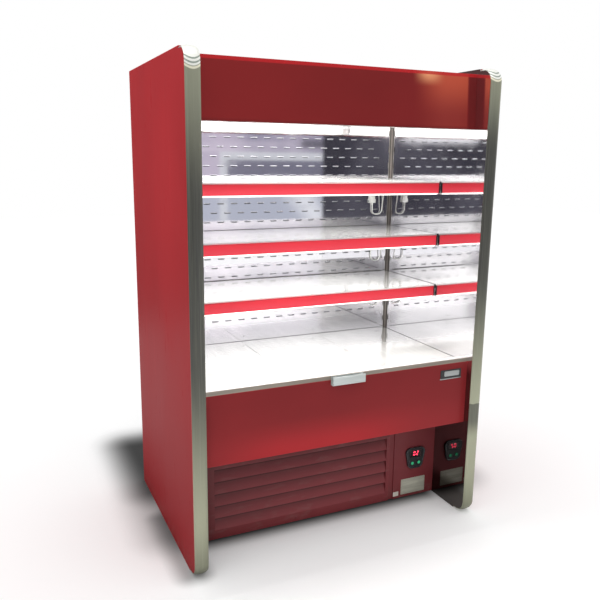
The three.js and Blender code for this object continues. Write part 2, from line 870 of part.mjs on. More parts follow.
/** Steel shelf with folded edges and its two end brackets, each with a hook. */
function shelf(top) {
  const t = steelSheet;
  const plate = box(-shelfHalf, shelfHalf, shelfFront, shelfRear, top - t, top);
  const frontFold = box(-shelfHalf, shelfHalf, shelfFront, shelfFront + t, top - shelfFrontFold, top);
  const rearFold = box(-shelfHalf, shelfHalf, shelfRear - t, shelfRear, top - shelfSideFold, top);
  const sides = [-1, 1].map((side) => box(
    side * shelfHalf, side * (shelfHalf - t), shelfFront, shelfRear, top - shelfSideFold, top,
  ));
  const tip = shelfRear - bracketLength;
  const hookRear = shelfRear + hookReach;
  const hookLow = hookBottom(top);
  const outline = [
    [tip, top - t / 2], [tip, top - bracketFrontHeight], [shelfRear, top - bracketRearHeight],
    [shelfRear, hookLow], [hookRear, hookLow], [hookRear, hookLow + hookHeight],
    [shelfRear, hookLow + hookHeight], [shelfRear, top - t / 2],
  ];
  const half = bracketThickness / 2;
  const brackets = [-1, 1].map((side) => {
    const x = side * (uprightOuter - uprightWidth / 2);
    return alongX(outline, x - half, x + half);
  });
  return join([plate, frontFold, rearFold, ...sides, ...brackets]);
}

/** Ticket strip clipped on the front fold of a shelf. */
function ticketStrip(top) {
  const back = shelfFront - fitGap;
  const z1 = top - stripDrop;
  const z0 = z1 - stripHeight;
  const t = stripBack;
  const outline = [
    [back, z0], [back, z1], [back - stripLip, z1], [back - stripLip, z1 - t], [back - t, z1 - t],
    [back - t, z0 + t], [back - stripLip, z0 + t], [back - stripLip, z0],
  ];
  return alongX(outline, -innerHalf + stripEndGap, innerHalf - stripEndGap);
}

/** Bottom of the light behind a ticket strip. */
function lightBottom(top) {
  return top - stripDrop - stripHeight - lightDrop;
}

/** Shelf light behind the front fold. */
function shelfLight(top) {
  const y0 = shelfFront + steelSheet + fitGap;
  const y1 = y0 + lightDepth;
  const z0 = lightBottom(top);
  const outline = [
    [y0, z0 + lightHeight], [y0, z0 + lightFrontChamfer], [y0 + lightFrontChamfer, z0],
    [y1 - lightRearChamfer, z0], [y1, z0 + lightRearChamfer], [y1, z0 + lightHeight],
  ];
  return alongX(outline, -innerHalf + lightEndGap, innerHalf - lightEndGap);
}

/** Lead of a shelf light: back under the shelf, down in a loop and up into its plug. */
function lightLead(top) {
  const exitY = shelfFront + steelSheet + fitGap + lightDepth + fitGap;
  const exitZ = lightBottom(top) + lightHeight - leadExitDrop;
  const run = uprightOuter - uprightWidth;
  const under = top - shelfSideFold - leadRunDrop;
  const plugX = innerHalf - leadPlugInset;
  const plugY = ductPanelFront - fitGap - leadPlugDepth / 2;
  const plugBottom = top - leadPlugDrop;
  const low = top - leadLoopDrop;
  const dropX = run - leadSideGap;
  const dropY = uprightFront - leadSideGap - leadDiameter;
  const lead = bentTube(
    [
      [run, exitY, exitZ], [run, exitY + leadSlope, exitZ], [run, exitY + 2 * leadSlope, under],
      [run, dropY - leadSlope, under], [dropX, dropY, under], [dropX, plugY, low],
      [plugX, plugY, low], [plugX, plugY, plugBottom + leadPlugHeight / 2],
    ],
    leadDiameter, leadBend, 6, 3,
  );
  const plug = box(
    plugX - leadPlugWidth / 2, plugX + leadPlugWidth / 2,
    plugY - leadPlugDepth / 2, plugY + leadPlugDepth / 2,
    plugBottom, plugBottom + leadPlugHeight,
  );
  return join([lead, plug]);
}

/** Moulded tray under the deck, its floor open below for the foam. */
function baseWell() {
  const top = lipTopHeight - steelSheet - fitGap;
  const floor = box(-fittedHalf, fittedHalf, wellFront, wellRear, wellBottom, wellFloorTop);
  const front = box(-fittedHalf, fittedHalf, wellFront, wellInnerFront, wellBottom, top);
  const sides = [-1, 1].map((side) => box(
    side * fittedHalf, side * (fittedHalf - wellSideWall), wellFront, wellRear, wellBottom, wellSideTop,
  ));
  const hole = rodZ(
    pipeHoleX, pipeHoleY, pipeHoleRadius, wellBottom - cutterReach, wellFloorTop + cutterReach, 16,
  );
  const legSlot = box(
    -halfWidth, halfWidth, wellInnerFront, lipRear + fitGap,
    lipTopHeight - lipInnerDrop - fitGap, top + cutterReach,
  );
  const core = box(
    -fittedHalf + wellSkin, fittedHalf - wellSkin, wellFront + wellSkin, wellRear - wellSkin,
    wellBottom - cutterReach, wellFloorTop - wellSkin,
  );
  return cut(join([floor, front, ...sides]), [core, hole, legSlot]);
}

/** Red front panel with a return under the well. */
function fascia() {
  const outline = [
    [fasciaFront, fasciaBottomHeight], [fasciaFront + fasciaReturn, fasciaBottomHeight],
    [fasciaFront + fasciaReturn, fasciaBottomHeight + paintedSheet],
    [fasciaFront + paintedSheet, fasciaBottomHeight + paintedSheet],
    [fasciaFront + paintedSheet, fasciaTopHeight], [fasciaFront, fasciaTopHeight],
  ];
  return alongX(outline, -fittedHalf, fittedHalf);
}

/** Steel lip folded over the front wall of the well. */
function frontLip() {
  const t = steelSheet;
  const legBottom = fasciaTopHeight + fitGap;
  const innerBottom = lipTopHeight - lipInnerDrop;
  const outline = [
    [fasciaFront, legBottom], [fasciaFront + t, legBottom], [fasciaFront + t, lipTopHeight - t],
    [lipRear - t, lipTopHeight - t], [lipRear - t, innerBottom], [lipRear, innerBottom],
    [lipRear, lipTopHeight - 1], [lipRear - 1, lipTopHeight], [fasciaFront + 1, lipTopHeight],
    [fasciaFront, lipTopHeight - 1],
  ];
  return alongX(outline, -fittedHalf, fittedHalf);
}

/** Slotted grille where the air goes back under the deck. */
function returnGrille() {
  const half = fittedHalf;
  const middle = grilleFront + returnGrilleDepth / 2;
  const count = Math.floor((2 * half - 2 * returnSlotPitch) / returnSlotPitch);
  const slots = [];
  for (let i = 0; i < count; i += 1) {
    const x = (i - (count - 1) / 2) * returnSlotPitch;
    slots.push(box(
      x - returnSlotWidth / 2, x + returnSlotWidth / 2, middle - returnSlotLength / 2,
      middle + returnSlotLength / 2, deckBottom - cutterReach, deckHeight + cutterReach,
    ));
  }
  const plate = box(-half, half, grilleFront, grilleFront + returnGrilleDepth, deckBottom, deckHeight);
  return cut(plate, [group(slots)]);
}

/** Lift-out steel deck, notched round the uprights. */
function baseDeck() {
  const half = fittedHalf;
  const notchX = uprightOuter - uprightWidth - deckNotchGap;
  const notchY = uprightFront - deckNotchGap;
  const plate = alongZ(
    [
      [-half, deckFront], [half, deckFront], [half, notchY], [notchX, notchY], [notchX, deckRear],
      [-notchX, deckRear], [-notchX, notchY], [-half, notchY],
    ],
    deckBottom, deckHeight,
  );
  const foldHalf = fittedHalf - wellSideWall - deckNotchGap;
  const frontFold = box(
    -foldHalf, foldHalf, deckFront, deckFront + steelSheet, deckHeight - deckFold, deckHeight,
  );
  const rearFold = box(
    -notchX, notchX, deckRear - steelSheet, deckRear, deckHeight - deckFold, deckHeight,
  );
  return join([plate, frontFold, rearFold]);
}

/** Folded steel pocket that holds the pull bar when the blind is down. */
function blindCatch() {
  const t = steelSheet;
  const back = fasciaFront - fitGap;
  const front = back - catchDepth;
  const top = lipTopHeight - 1;
  const bottom = top - catchHeight;
  const outline = [
    [back, top], [back - t, top], [back - t, bottom + t], [front + t, bottom + t],
    [front + t, top - t], [front + catchCurl, top - t], [front + catchCurl, top], [front + 2, top],
    [front, top - 2], [front, bottom + 2], [front + 2, bottom], [back, bottom],
  ];
  return alongX(outline, -catchWidth / 2, catchWidth / 2);
}

/** Wound roll on its tube, with a pin at each end. */
function blindRoller() {
  const half = innerHalf - blindEndGap;
  const pinHalf = half + rollerPinLength;
  return join([
    rodX(rollerY, rollerAxisHeight, rollRadius, -half, half, 24),
    rodX(rollerY, rollerAxisHeight, rollerPinRadius, -pinHalf, pinHalf, 16),
  ]);
}

/** Short free length of blind between the roll and the parked bar. */
function blindFabric() {
  const t = blindThickness;
  const topZ = rollerAxisHeight;
  const bottomZ = pullBarParkedHeight + pullBarHeight / 2 + fitGap;
  const topY = rollFrontY - fitGap;
  const bottomY = topY - pathSlope * (topZ - bottomZ);
  const outline = [[topY, topZ], [topY - t, topZ], [bottomY - t, bottomZ], [bottomY, bottomZ]];
  return alongX(outline, -innerHalf + blindEndGap, innerHalf - blindEndGap);
}

/** Pull bar at the foot of the blind, narrowed at its lower edge. */
function pullBar() {
  const y0 = pullBarParkedY - pullBarDepth / 2;
  const y1 = pullBarParkedY + pullBarDepth / 2;
  const z0 = pullBarParkedHeight - pullBarHeight / 2;
  const z1 = pullBarParkedHeight + pullBarHeight / 2;
  const c = pullBarChamfer;
  const half = innerHalf - blindEndGap;
  const outline = [[y0, z0 + c], [y0 + c, z0], [y1 - c, z0], [y1, z0 + c], [y1, z1], [y0, z1]];
  return alongX(outline, -half, half);
}

/** Louvred service panel. */
function louvrePanel() {
  const t = paintedSheet;
  const left = -fittedHalf;
  const right = louvrePanelRight;
  const x0 = left + louvreLeftMargin;
  const x1 = right - louvreRightMargin;
  const [front, rear, foldRear] = [lowerPanelFront, lowerPanelRear, lowerPanelRear + lowerPanelFold];
  const [bottom, top] = [lowerPanelBottom, lowerPanelTop];
  const louvreBottom = louvreTopHeight - louvreCount * louvrePitch;
  const sheet = box(left, right, front, rear, bottom, top);
  const window = box(x0, x1, front - cutterReach, rear + cutterReach, louvreBottom, louvreTopHeight);
  const flanges = [
    box(left, right, front, foldRear, top - t, top),
    box(left, right, front, foldRear, bottom, bottom + t),
    box(left, left + t, front, foldRear, bottom, top),
    box(right - t, right, front, foldRear, bottom, top),
  ];
  const slats = Array.from({ length: louvreCount }, (_, i) => {
    const low = louvreTopHeight - (i + 1) * louvrePitch;
    const high = low + louvrePitch + (i === 0 ? 0 : louvreOverlap);
    const outline = [
      [front, low], [front + louvreThickness, low],
      [front + louvreDepth, high], [front + louvreDepth - louvreThickness, high],
    ];
    return alongX(outline, x0 - t / 2, x1 + t / 2);
  });
  const cheeks = [x0 - t, x1].map((x) => box(
    x, x + t, front, front + louvreDepth, louvreBottom - t, louvreTopHeight + t,
  ));
  return join([cut(sheet, [window]), ...flanges, ...slats, ...cheeks]);
}

/** Painted post and panel that carry the controller. */
function controlPanel() {
  const t = paintedSheet;
  const [front, rear, foldRear] = [lowerPanelFront, lowerPanelRear, lowerPanelRear + lowerPanelFold];
  const [bottom, top] = [lowerPanelBottom, lowerPanelTop];
  const holeHalfWidth = controllerBoxWidth / 2 + fitGap;
  const holeHalfHeight = controllerBoxHeight / 2 + fitGap;
  const hole = box(
    controllerX - holeHalfWidth, controllerX + holeHalfWidth, front - cutterReach, rear + cutterReach,
    controllerCentreHeight - holeHalfHeight, controllerCentreHeight + holeHalfHeight,
  );
  const postFront = front + postSetback;
  return join([
    cut(box(controlLeft, fittedHalf, front, rear, bottom, top), [hole]),
    box(postLeft, controlLeft + t, postFront, postFront + t, bottom, top),
    box(controlLeft, controlLeft + t, front, foldRear, bottom, top),
    box(controlLeft, fittedHalf, front, foldRear, top - t, top),
  ]);
}

/** Black controller: rounded bezel in front, box behind, pockets for display and keys. */
function controllerBody() {
  const front = lowerPanelFront - controllerProud;
  const bezelRear = lowerPanelFront - fitGap;
  const bezel = alongY(
    roundedRectangle(
      controllerX, controllerCentreHeight, controllerWidth, controllerHeight, controllerCorner,
      controllerFootShare,
    ),
    front, bezelRear,
  );
  const housing = box(
    controllerX - controllerBoxWidth / 2, controllerX + controllerBoxWidth / 2, bezelRear - 1,
    bezelRear + controllerBoxDepth, controllerCentreHeight - controllerBoxHeight / 2,
    controllerCentreHeight + controllerBoxHeight / 2,
  );
  const displayZ = controllerCentreHeight + displayRise;
  const displayPocket = box(
    controllerX - displayWidth / 2 - fitGap, controllerX + displayWidth / 2 + fitGap,
    front - cutterReach, front + displayThickness + fitGap, displayZ - displayHeight / 2 - fitGap,
    displayZ + displayHeight / 2 + fitGap,
  );
  const keyPockets = [-1, 1].map((side) => rodY(
    controllerX + (side * keySpacing) / 2, controllerCentreHeight - keyDrop, keyDiameter / 2 + fitGap,
    front - cutterReach, front + keyLength - keyProud + keyTravel + fitGap, 20,
  ));
  return cut(join([bezel, housing]), [displayPocket, ...keyPockets]);
}

/** Window over the two digits. */
function controllerDisplay() {
  const front = lowerPanelFront - controllerProud;
  const z = controllerCentreHeight + displayRise;
  return box(
    controllerX - displayWidth / 2, controllerX + displayWidth / 2, front, front + displayThickness,
    z - displayHeight / 2, z + displayHeight / 2,
  );
}

/** Round key that is pressed straight in. */
function controllerKey(side) {
  const front = lowerPanelFront - controllerProud - keyProud;
  const x = controllerX + (side * keySpacing) / 2;
  return rodY(x, controllerCentreHeight - keyDrop, keyDiameter / 2, front, front + keyLength, 20);
}

/** Base tray of the machine compartment. */
function chassis() {
  const half = fittedHalf;
  const t = chassisSheet;
  const top = chassisHeight + chassisRim;
  return join([
    box(-half, half, chassisFront, chassisRear, chassisHeight, chassisTop),
    box(-half, half, chassisFront, chassisFront + t, chassisHeight, top),
    box(-half, half, chassisRear - t, chassisRear, chassisHeight, top),
    box(-half, -half + t, chassisFront, chassisRear, chassisHeight, top),
    box(half - t, half, chassisFront, chassisRear, chassisHeight, top),
  ]);
}

/** Flat frame under the chassis with a screw foot at each corner. */
function footFrame() {
  const x = fittedHalf - footInset;
  const y0 = chassisFront + footInset;
  const y1 = chassisRear - footInset;
  const half = footBarWidth / 2;
  const top = chassisHeight - fitGap;
  const bars = [
    box(-x - half, -x + half, y0 - half, y1 + half, top - footBarHeight, top),
    box(x - half, x + half, y0 - half, y1 + half, top - footBarHeight, top),
    box(-x, x, y0 - half, y0 + half, top - footBarHeight, top),
    box(-x, x, y1 - half, y1 + half, top - footBarHeight, top),
  ];
  const feet = [-x, x].flatMap((footX) => [y0, y1].flatMap((footY) => [
    rodZ(footX, footY, footPadRadius, 0, footPadHeight, 16),
    rodZ(footX, footY, footStemRadius, footPadHeight - 1, top - 1, 10),
  ]));
  return join([...bars, ...feet]);
}

/** Finned block with upright grooves on its front face. */
function finnedCoil(x0, x1, y0, y1, z0, z1, count) {
  const pitch = (x1 - x0 - 2 * finSpine) / count;
  const grooves = Array.from({ length: count }, (_, i) => {
    const x = x0 + finSpine + pitch * (i + 0.5);
    return box(
      x - pitch / 4, x + pitch / 4, y0 - cutterReach, y1 - finSpine, z0 + finSpine, z1 - finSpine,
    );
  });
  return cut(box(x0, x1, y0, y1, z0, z1), [group(grooves)]);
}

/** Fan cowl behind the condenser. */
function condenserShroud() {
  const t = shroudSheet;
  const shell = box(condenserX0, condenserX1, shroudY0, shroudY1, condenserZ0, condenserZ1);
  const hollow = box(
    condenserX0 + t, condenserX1 - t, shroudY0 - cutterReach, shroudY1 - t,
    condenserZ0 + t, condenserZ1 - t,
  );
  const eye = rodY(
    condenserFanX, condenserFanZ, condenserFanRadius + fanTipGap,
    shroudY1 - t - cutterReach, shroudY1 + cutterReach, 32,
  );
  return cut(shell, [hollow, eye]);
}

/** Three equal bars about a shaft, each between two heights above it. */
function threeWays(x, z, y0, y1, low, high) {
  return [0, 120, 240].map((degrees) => {
    const bar = box(-motorArmWidth / 2, motorArmWidth / 2, y0, y1, low, high);
    return bar.rotateY(THREE.MathUtils.degToRad(degrees)).translate(x, 0, z);
  });
}

/** Middle of a fan along its shaft: its blades run clear in front of the motor's arms. */
function fanMiddle(radius, armY) {
  const halfChord = bladeChord * radius;
  return armY - bladeArmGap - halfChord * Math.sin(THREE.MathUtils.degToRad(bladePitchAngle));
}

/** Motor behind a fan, held off the plate by three arms with feet. */
function fanMotor(x, z, radius, length, plateRear, fanRadius) {
  const armY = plateRear + fitGap + motorStandOff;
  const armRear = armY + motorArmThickness;
  const footInner = fanRadius + fanTipGap + motorFootGap;
  const footOuter = footInner + motorArmWidth;
  return join([
    rodY(x, z, radius, armY, armY + length, 20),
    ...threeWays(x, z, armY, armRear, 0, footOuter),
    ...threeWays(x, z, plateRear + fitGap, armRear, footInner, footOuter),
    rodY(x, z, shaftRadius, fanMiddle(fanRadius, armY) + fitGap, armRear, 12),
  ]);
}

/** Fan with pitched blades; its hub is bored for the shaft. */
function fan(x, z, radius, plateRear) {
  const armY = plateRear + fitGap + motorStandOff;
  const middle = fanMiddle(radius, armY);
  const hubRear = middle + fanHubLength / 2;
  const hubFront = middle - fanHubLength / 2;
  const hub = rodY(x, z, fanHubRadius, hubFront, hubRear, 20);
  const blades = Array.from({ length: bladeCount }, (_, i) => {
    const chord = radius * bladeChord;
    const root = fanHubRadius - 6;
    const blade = new THREE.Shape();
    blade.moveTo(-chord * 0.5, root);
    blade.lineTo(chord * 0.5, root);
    blade.quadraticCurveTo(chord, radius * 0.6, chord * 0.9, radius * 0.955);
    blade.quadraticCurveTo(0, radius * 1.02, -chord * 0.7, radius * 0.97);
    blade.quadraticCurveTo(-chord * 0.8, radius * 0.6, -chord * 0.5, root);
    const settings = { depth: bladeThickness, bevelEnabled: false, curveSegments: 3 };
    const solid = new THREE.ExtrudeGeometry(blade, settings);
    solid.rotateX(Math.PI / 2).translate(0, bladeThickness / 2, 0);
    solid.rotateZ(THREE.MathUtils.degToRad(bladePitchAngle));
    solid.rotateY(((2 * Math.PI) / bladeCount) * i);
    return solid.translate(x, middle, z);
  });
  const bore = rodY(x, z, shaftRadius + fitGap, middle, hubRear + cutterReach, 12);
  return cut(join([hub, ...blades]), [bore]);
}

/** Hermetic compressor on its four feet. */
function compressor() {
  const [x, y] = [compressorX, compressorY];
  const bottom = chassisTop + fitGap + compressorFoot;
  const top = chassisTop + compressorHeight;
  const r = compressorRadius;
  const profile = [
    [0, bottom], [r * 0.7, bottom], [r, bottom + r * 0.35], [r, top - r * 0.6],
    [r * 0.86, top - r * 0.24], [r * 0.5, top - 3], [0, top],
  ].map(([radius, height]) => new THREE.Vector2(radius, height));
  const shell = new THREE.LatheGeometry(profile, 24).rotateX(Math.PI / 2).translate(x, y, 0);
  const plate = box(x - r * 0.95, x + r * 0.95, y - r * 0.8, y + r * 0.8, bottom + 2, bottom + 6);
  const feet = [-1, 1].flatMap((sx) => [-1, 1].map((sy) => rodZ(
    x + sx * r * 0.8, y + sy * r * 0.62, 9, chassisTop + fitGap, bottom + 4, 10,
  )));
  return join([shell, plate, ...feet]);
}

/** Tray that collects and boils off the melt water. */
function condensateTray() {
  const t = trayWall;
  const x1 = condenserX1 - trayInset;
  const x0 = x1 - trayWidth;
  const y1 = chassisRear - trayInset;
  const y0 = y1 - trayDepth;
  const z0 = chassisTop + fitGap;
  const z1 = z0 + trayHeight;
  const hollow = box(x0 + t, x1 - t, y0 + t, y1 - t, z0 + t, z1 + cutterReach);
  return cut(box(x0, x1, y0, y1, z0, z1), [hollow]);
}

/** Slotted cover at the back of the machine compartment. */
function rearGrille() {
  const slots = [];
  const columnPitch = (2 * (fittedHalf - rearSlotMargin)) / rearSlotColumns;
  const cutterFront = rearGrilleY - cutterReach;
  const cutterRear = rearGrilleY + cutterReach;
  for (let column = 0; column < rearSlotColumns; column += 1) {
    for (let row = 0; row < rearSlotRows; row += 1) {
      const x = -fittedHalf + rearSlotMargin + columnPitch * (column + 0.5);
      const z = wellBottom - rearSlotMargin - row * rearSlotPitch;
      slots.push(box(
        x - rearSlotWidth / 2, x + rearSlotWidth / 2, cutterFront, cutterRear,
        z - rearSlotHeight / 2, z + rearSlotHeight / 2,
      ));
    }
  }
  const hole = rodY(glandX, glandHeight, glandStemRadius + fitGap, cutterFront, cutterRear, 16);
  const sheet = box(
    -fittedHalf, fittedHalf, rearGrilleY, rearGrilleY + steelSheet, chassisHeight, wellBottom - fitGap,
  );
  return cut(sheet, [group(slots), hole]);
}

/** Cable gland in the rear cover. */
function mainsGland() {
  const face = rearGrilleY + steelSheet + fitGap;
  const front = face - glandStemLength;
  const rear = face + glandLength;
  const body = join([
    rodY(glandX, glandHeight, glandRadius, face, face + glandNutLength, 6),
    rodY(glandX, glandHeight, glandCapRadius, face, rear, 16),
    rodY(glandX, glandHeight, glandStemRadius, front, rear, 16),
  ]);
  const bore = rodY(glandX, glandHeight, glandBore, front - cutterReach, rear + cutterReach, 12);
  return cut(body, [bore]);
}

/** Upright plate in the well with an eye for each fan. */
function fanPlate() {
  const half = fittedHalf - wellSideWall - fitGap;
  const plate = box(-half, half, fanPlateFront, fanPlateRear, wellFloorTop + fitGap, fanPlateTop);
  const eyes = [-1, 1].map((side) => rodY(
    (side * evaporatorFanSpacing) / 2, evaporatorFanZ, evaporatorFanRadius + fanTipGap,
    fanPlateFront - cutterReach, fanPlateRear + cutterReach, 32,
  ));
  return cut(plate, eyes);
}

/** Both evaporator motors on one cross rail. */
function evaporatorMotors() {
  const motors = [-1, 1].map((side) => fanMotor(
    (side * evaporatorFanSpacing) / 2, evaporatorFanZ, evaporatorMotorRadius, evaporatorMotorLength,
    fanPlateRear, evaporatorFanRadius,
  ));
  const railY = fanPlateRear + fitGap + motorStandOff;
  const half = evaporatorFanSpacing / 2;
  const rail = box(
    -half, half, railY, railY + motorArmThickness,
    evaporatorFanZ - motorArmWidth / 2, evaporatorFanZ + motorArmWidth / 2,
  );
  return join([...motors, rail]);
}

/** Cold return pipe from the evaporator down to the compressor. */
function suctionLine() {
  const x = pipeHoleX - suctionDiameter / 2;
  const y = coilY1 - suctionPortInset;
  const z = coilZ0 + suctionPortRise;
  const portZ = chassisTop + compressorHeight * compressorPortShare;
  const start = evaporatorWidth / 2 + fitGap;
  return bentTube(
    [
      [start, y, z], [x, y, z], [x, pipeHoleY, z], [x, pipeHoleY, portZ], [x, compressorY, portZ],
      [compressorX + compressorRadius + fitGap, compressorY, portZ],
    ],
    suctionDiameter, suctionBend, 10, 4,
  );
}

/** Thin pipe from the condenser up to the evaporator. */
function liquidLine() {
  const x = pipeHoleX + pipeHoleRadius / 2;
  const y = coilY0 + liquidPortInset;
  const z = coilZ0 + liquidPortRise;
  const low = liquidLineHeight;
  const coilY = condenserY0 + condenserDepth / 2;
  const start = evaporatorWidth / 2 + fitGap;
  return bentTube(
    [
      [start, y, z], [x, y, z], [x, pipeHoleY, z], [x, pipeHoleY, low], [x, coilY, low],
      [condenserX1 + fitGap, coilY, low],
    ],
    liquidDiameter, liquidBend, 8, 4,
  );
}

// ---------------------------------------------------------------- assembly

[['left', -1], ['right', 1]].forEach(([name, side]) => {
  piece(`end_panel_${name}`, endPanel(side), redPaint);
  piece(`end_nose_${name}`, endNose(side), brushedSteel);
  piece(`inner_lining_${name}`, innerLining(side), polishedSteel);
  piece(`shelf_upright_${name}`, upright(side), plainSteel);
});

piece('rear_panel', rearPanel(), galvanised);
piece('back_duct_panel', ductPanel(), polishedSteel);
piece('roof_panel', roofPanel(), galvanised);
piece('ceiling_panel', ceilingPanel(), polishedSteel);
piece('air_guide', airGuide(), galvanised);
piece('air_honeycomb', honeycomb(), whitePlastic);
piece('canopy_front', canopy(), darkRedPaint);
piece('canopy_lamp', canopyLamp(), litDiffuser);

piece('base_well', baseWell(), galvanised);
piece('fascia_panel', fascia(), redPaint);
piece('front_lip', frontLip(), brushedSteel);
piece('return_air_grille', returnGrille(), plainSteel);
piece('base_deck', baseDeck(), plainSteel);
piece('blind_catch', blindCatch(), polishedSteel);

['bottom', 'middle', 'top'].forEach((name, i) => {
  const top = shelfTops()[i];
  piece(`shelf_${name}`, shelf(top), plainSteel);
  piece(`ticket_strip_${name}`, ticketStrip(top), stripRed);
  piece(`shelf_light_${name}`, shelfLight(top), litDiffuser);
  piece(`light_lead_${name}`, lightLead(top), whitePlastic);
});

piece('blind_roller', blindRoller(), blindGrey);
piece('blind_fabric', blindFabric(), blindGrey);
piece('blind_pull_bar', pullBar(), aluminium);

piece('louvre_panel', louvrePanel(), darkRedPaint);
piece('control_panel', controlPanel(), darkRedPaint);
piece('controller_body', controllerBody(), blackPlastic);
piece('controller_display', controllerDisplay(), displayRed);
piece('controller_key_left', controllerKey(-1), keyGreen);
piece('controller_key_right', controllerKey(1), keyGreen);

piece('chassis', chassis(), galvanised);
piece('foot_frame', footFrame(), blackPaint);
piece('compressor', compressor(), blackPaint);
piece('condenser_coil', finnedCoil(
  condenserX0, condenserX1, condenserY0, condenserY1, condenserZ0, condenserZ1, finCount,
), aluminium);
piece('condenser_shroud', condenserShroud(), galvanised);
piece('condenser_fan_motor', fanMotor(
  condenserFanX, condenserFanZ, condenserMotorRadius, condenserMotorLength, shroudY1, condenserFanRadius,
), blackPaint);
piece('condenser_fan', fan(condenserFanX, condenserFanZ, condenserFanRadius, shroudY1), blackPlastic);
piece('condensate_tray', condensateTray(), blackPlastic);
piece('rear_grille', rearGrille(), galvanised);
piece('mains_gland', mainsGland(), blackPlastic);

piece('evaporator_coil', finnedCoil(
  -evaporatorWidth / 2, evaporatorWidth / 2, coilY0, coilY1, coilZ0, coilZ1, evaporatorFinCount,
), aluminium);
piece('evaporator_fan_plate', fanPlate(), plainSteel);
piece('evaporator_fan_motors', evaporatorMotors(), blackPaint);
[['left', -1], ['right', 1]].forEach(([name, side]) => {
  const x = (side * evaporatorFanSpacing) / 2;
  piece(`evaporator_fan_${name}`, fan(x, evaporatorFanZ, evaporatorFanRadius, fanPlateRear), blackPlastic);
});
piece('suction_line', suctionLine(), copper);
piece('liquid_line', liquidLine(), copper);

export default fridge;
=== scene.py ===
"""Open multideck display fridge: finishes, small pieces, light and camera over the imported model."""

import math

import bmesh
import bpy
from bpy.props import FloatProperty, FloatVectorProperty, IntProperty, PointerProperty
from mathutils import Matrix, Vector


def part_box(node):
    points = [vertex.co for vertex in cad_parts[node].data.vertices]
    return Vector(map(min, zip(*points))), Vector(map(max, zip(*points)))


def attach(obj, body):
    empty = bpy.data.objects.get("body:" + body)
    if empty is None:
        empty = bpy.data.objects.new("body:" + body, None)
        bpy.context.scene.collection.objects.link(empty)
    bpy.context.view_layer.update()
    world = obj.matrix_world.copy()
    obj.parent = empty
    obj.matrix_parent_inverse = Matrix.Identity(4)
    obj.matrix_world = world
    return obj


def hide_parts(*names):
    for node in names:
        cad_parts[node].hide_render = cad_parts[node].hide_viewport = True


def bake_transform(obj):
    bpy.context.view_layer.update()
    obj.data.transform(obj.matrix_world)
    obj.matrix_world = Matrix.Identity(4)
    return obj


bl_info = {
    "name": "Open multideck display fridge",
    "version": (1, 0, 0),
    "blender": (4, 5, 0),
    "location": "View3D > Sidebar > Fridge",
    "description": "Dresses the packed display fridge with finishes, fittings, light and a camera",
    "category": "Object",
}

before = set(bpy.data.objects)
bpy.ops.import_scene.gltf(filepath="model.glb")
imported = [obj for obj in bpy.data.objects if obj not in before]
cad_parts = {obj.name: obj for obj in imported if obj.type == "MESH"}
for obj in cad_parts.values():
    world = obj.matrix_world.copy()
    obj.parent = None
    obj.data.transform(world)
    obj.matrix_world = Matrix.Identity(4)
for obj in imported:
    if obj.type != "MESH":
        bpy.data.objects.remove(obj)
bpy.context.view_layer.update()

SIDES = ("left", "right")
SHELVES = ("bottom", "middle", "top")
MM = 0.001


def linear(code, alpha=1.0):
    """Linear colour of a six-digit screen colour."""
    parts = [int(code[i : i + 2], 16) / 255 for i in (0, 2, 4)]
    return tuple(p / 12.92 if p <= 0.04045 else ((p + 0.055) / 1.055) ** 2.4 for p in parts) + (alpha,)


def toned(colour, tone):
    """The colour made lighter or darker."""
    return tuple(min(1.0, channel * tone) for channel in colour[:3]) + (1.0,)


def colour_property(name, description, code):
    """A colour that a user may change."""
    return FloatVectorProperty(
        name=name, description=description, subtype="COLOR", size=4, min=0, max=1, default=linear(code)
    )


def length_property(name, description, default):
    """A length in metres that a user may change."""
    return FloatProperty(name=name, description=description, default=default, min=0, unit="LENGTH")


class FridgeColours(bpy.types.PropertyGroup):
    """Colours of the fridge's finishes."""

    end_paint: colour_property("End paint", "Paint of the outer ends", "B33237")
    # The canopy's red is the ends' red made darker: painted shade.
    shaded_canopy_paint: colour_property("Canopy paint", "Paint of the canopy", "7E1C1D")
    # The front panel's red is the ends' red made darker: painted shade.
    shaded_front_paint: colour_property("Front paint", "Paint of the front panel", "8C282B")
    # The louvred and control panels' red is the ends' red made darker: painted shade.
    shaded_lower_paint: colour_property("Lower paint", "Paint of the louvred and control panels", "772F33")
    strip: colour_property("Ticket strip", "Ticket strips on the shelf fronts", "FF3848")
    nose_steel: colour_property("Nose steel", "Brushed steel of the end noses", "A3A58F")
    mirror_steel: colour_property("Mirror steel", "Polished steel of the walls", "F4F3F6")
    shelf_steel: colour_property("Shelf steel", "Satin steel of the shelves and the deck", "ECEBE8")
    zinc: colour_property("Zinc", "Galvanised sheet of the back and the chassis", "A9ADAF")
    diffuser: colour_property("Diffuser", "Lit covers of the lamps", "FFFDF8")
    blind: colour_property("Blind", "Woven fabric of the night blind", "C9CCCD")
    digits: colour_property("Digits", "Lit digits of the display", "FF3B5A")
    keys: colour_property("Keys", "Lit keys of the controller", "3FBF85")


class FridgeSizes(bpy.types.PropertyGroup):
    """Sizes of the small pieces that are added here."""

    lip_reach: length_property("Slot lip", "How far the pressed lips stand off the rear panel", 2.2 * MM)
    lip_drop: length_property("Slot lip drop", "Height of the pressed lips", 2.8 * MM)
    screw_radius: length_property("Screw head", "Radius of the panel screws", 4.2 * MM)
    plate_thickness: length_property("Plate thickness", "Thickness of the badge and rating plates", 1.4 * MM)
    digit_height: length_property("Digit height", "Height of the lit digits", 20 * MM)
    weave_pitch: length_property("Weave pitch", "Distance between threads of the blind", 1.2 * MM)
    roll_layers: IntProperty(name="Roll layers", description="Turns that show at the roll's ends", default=9)


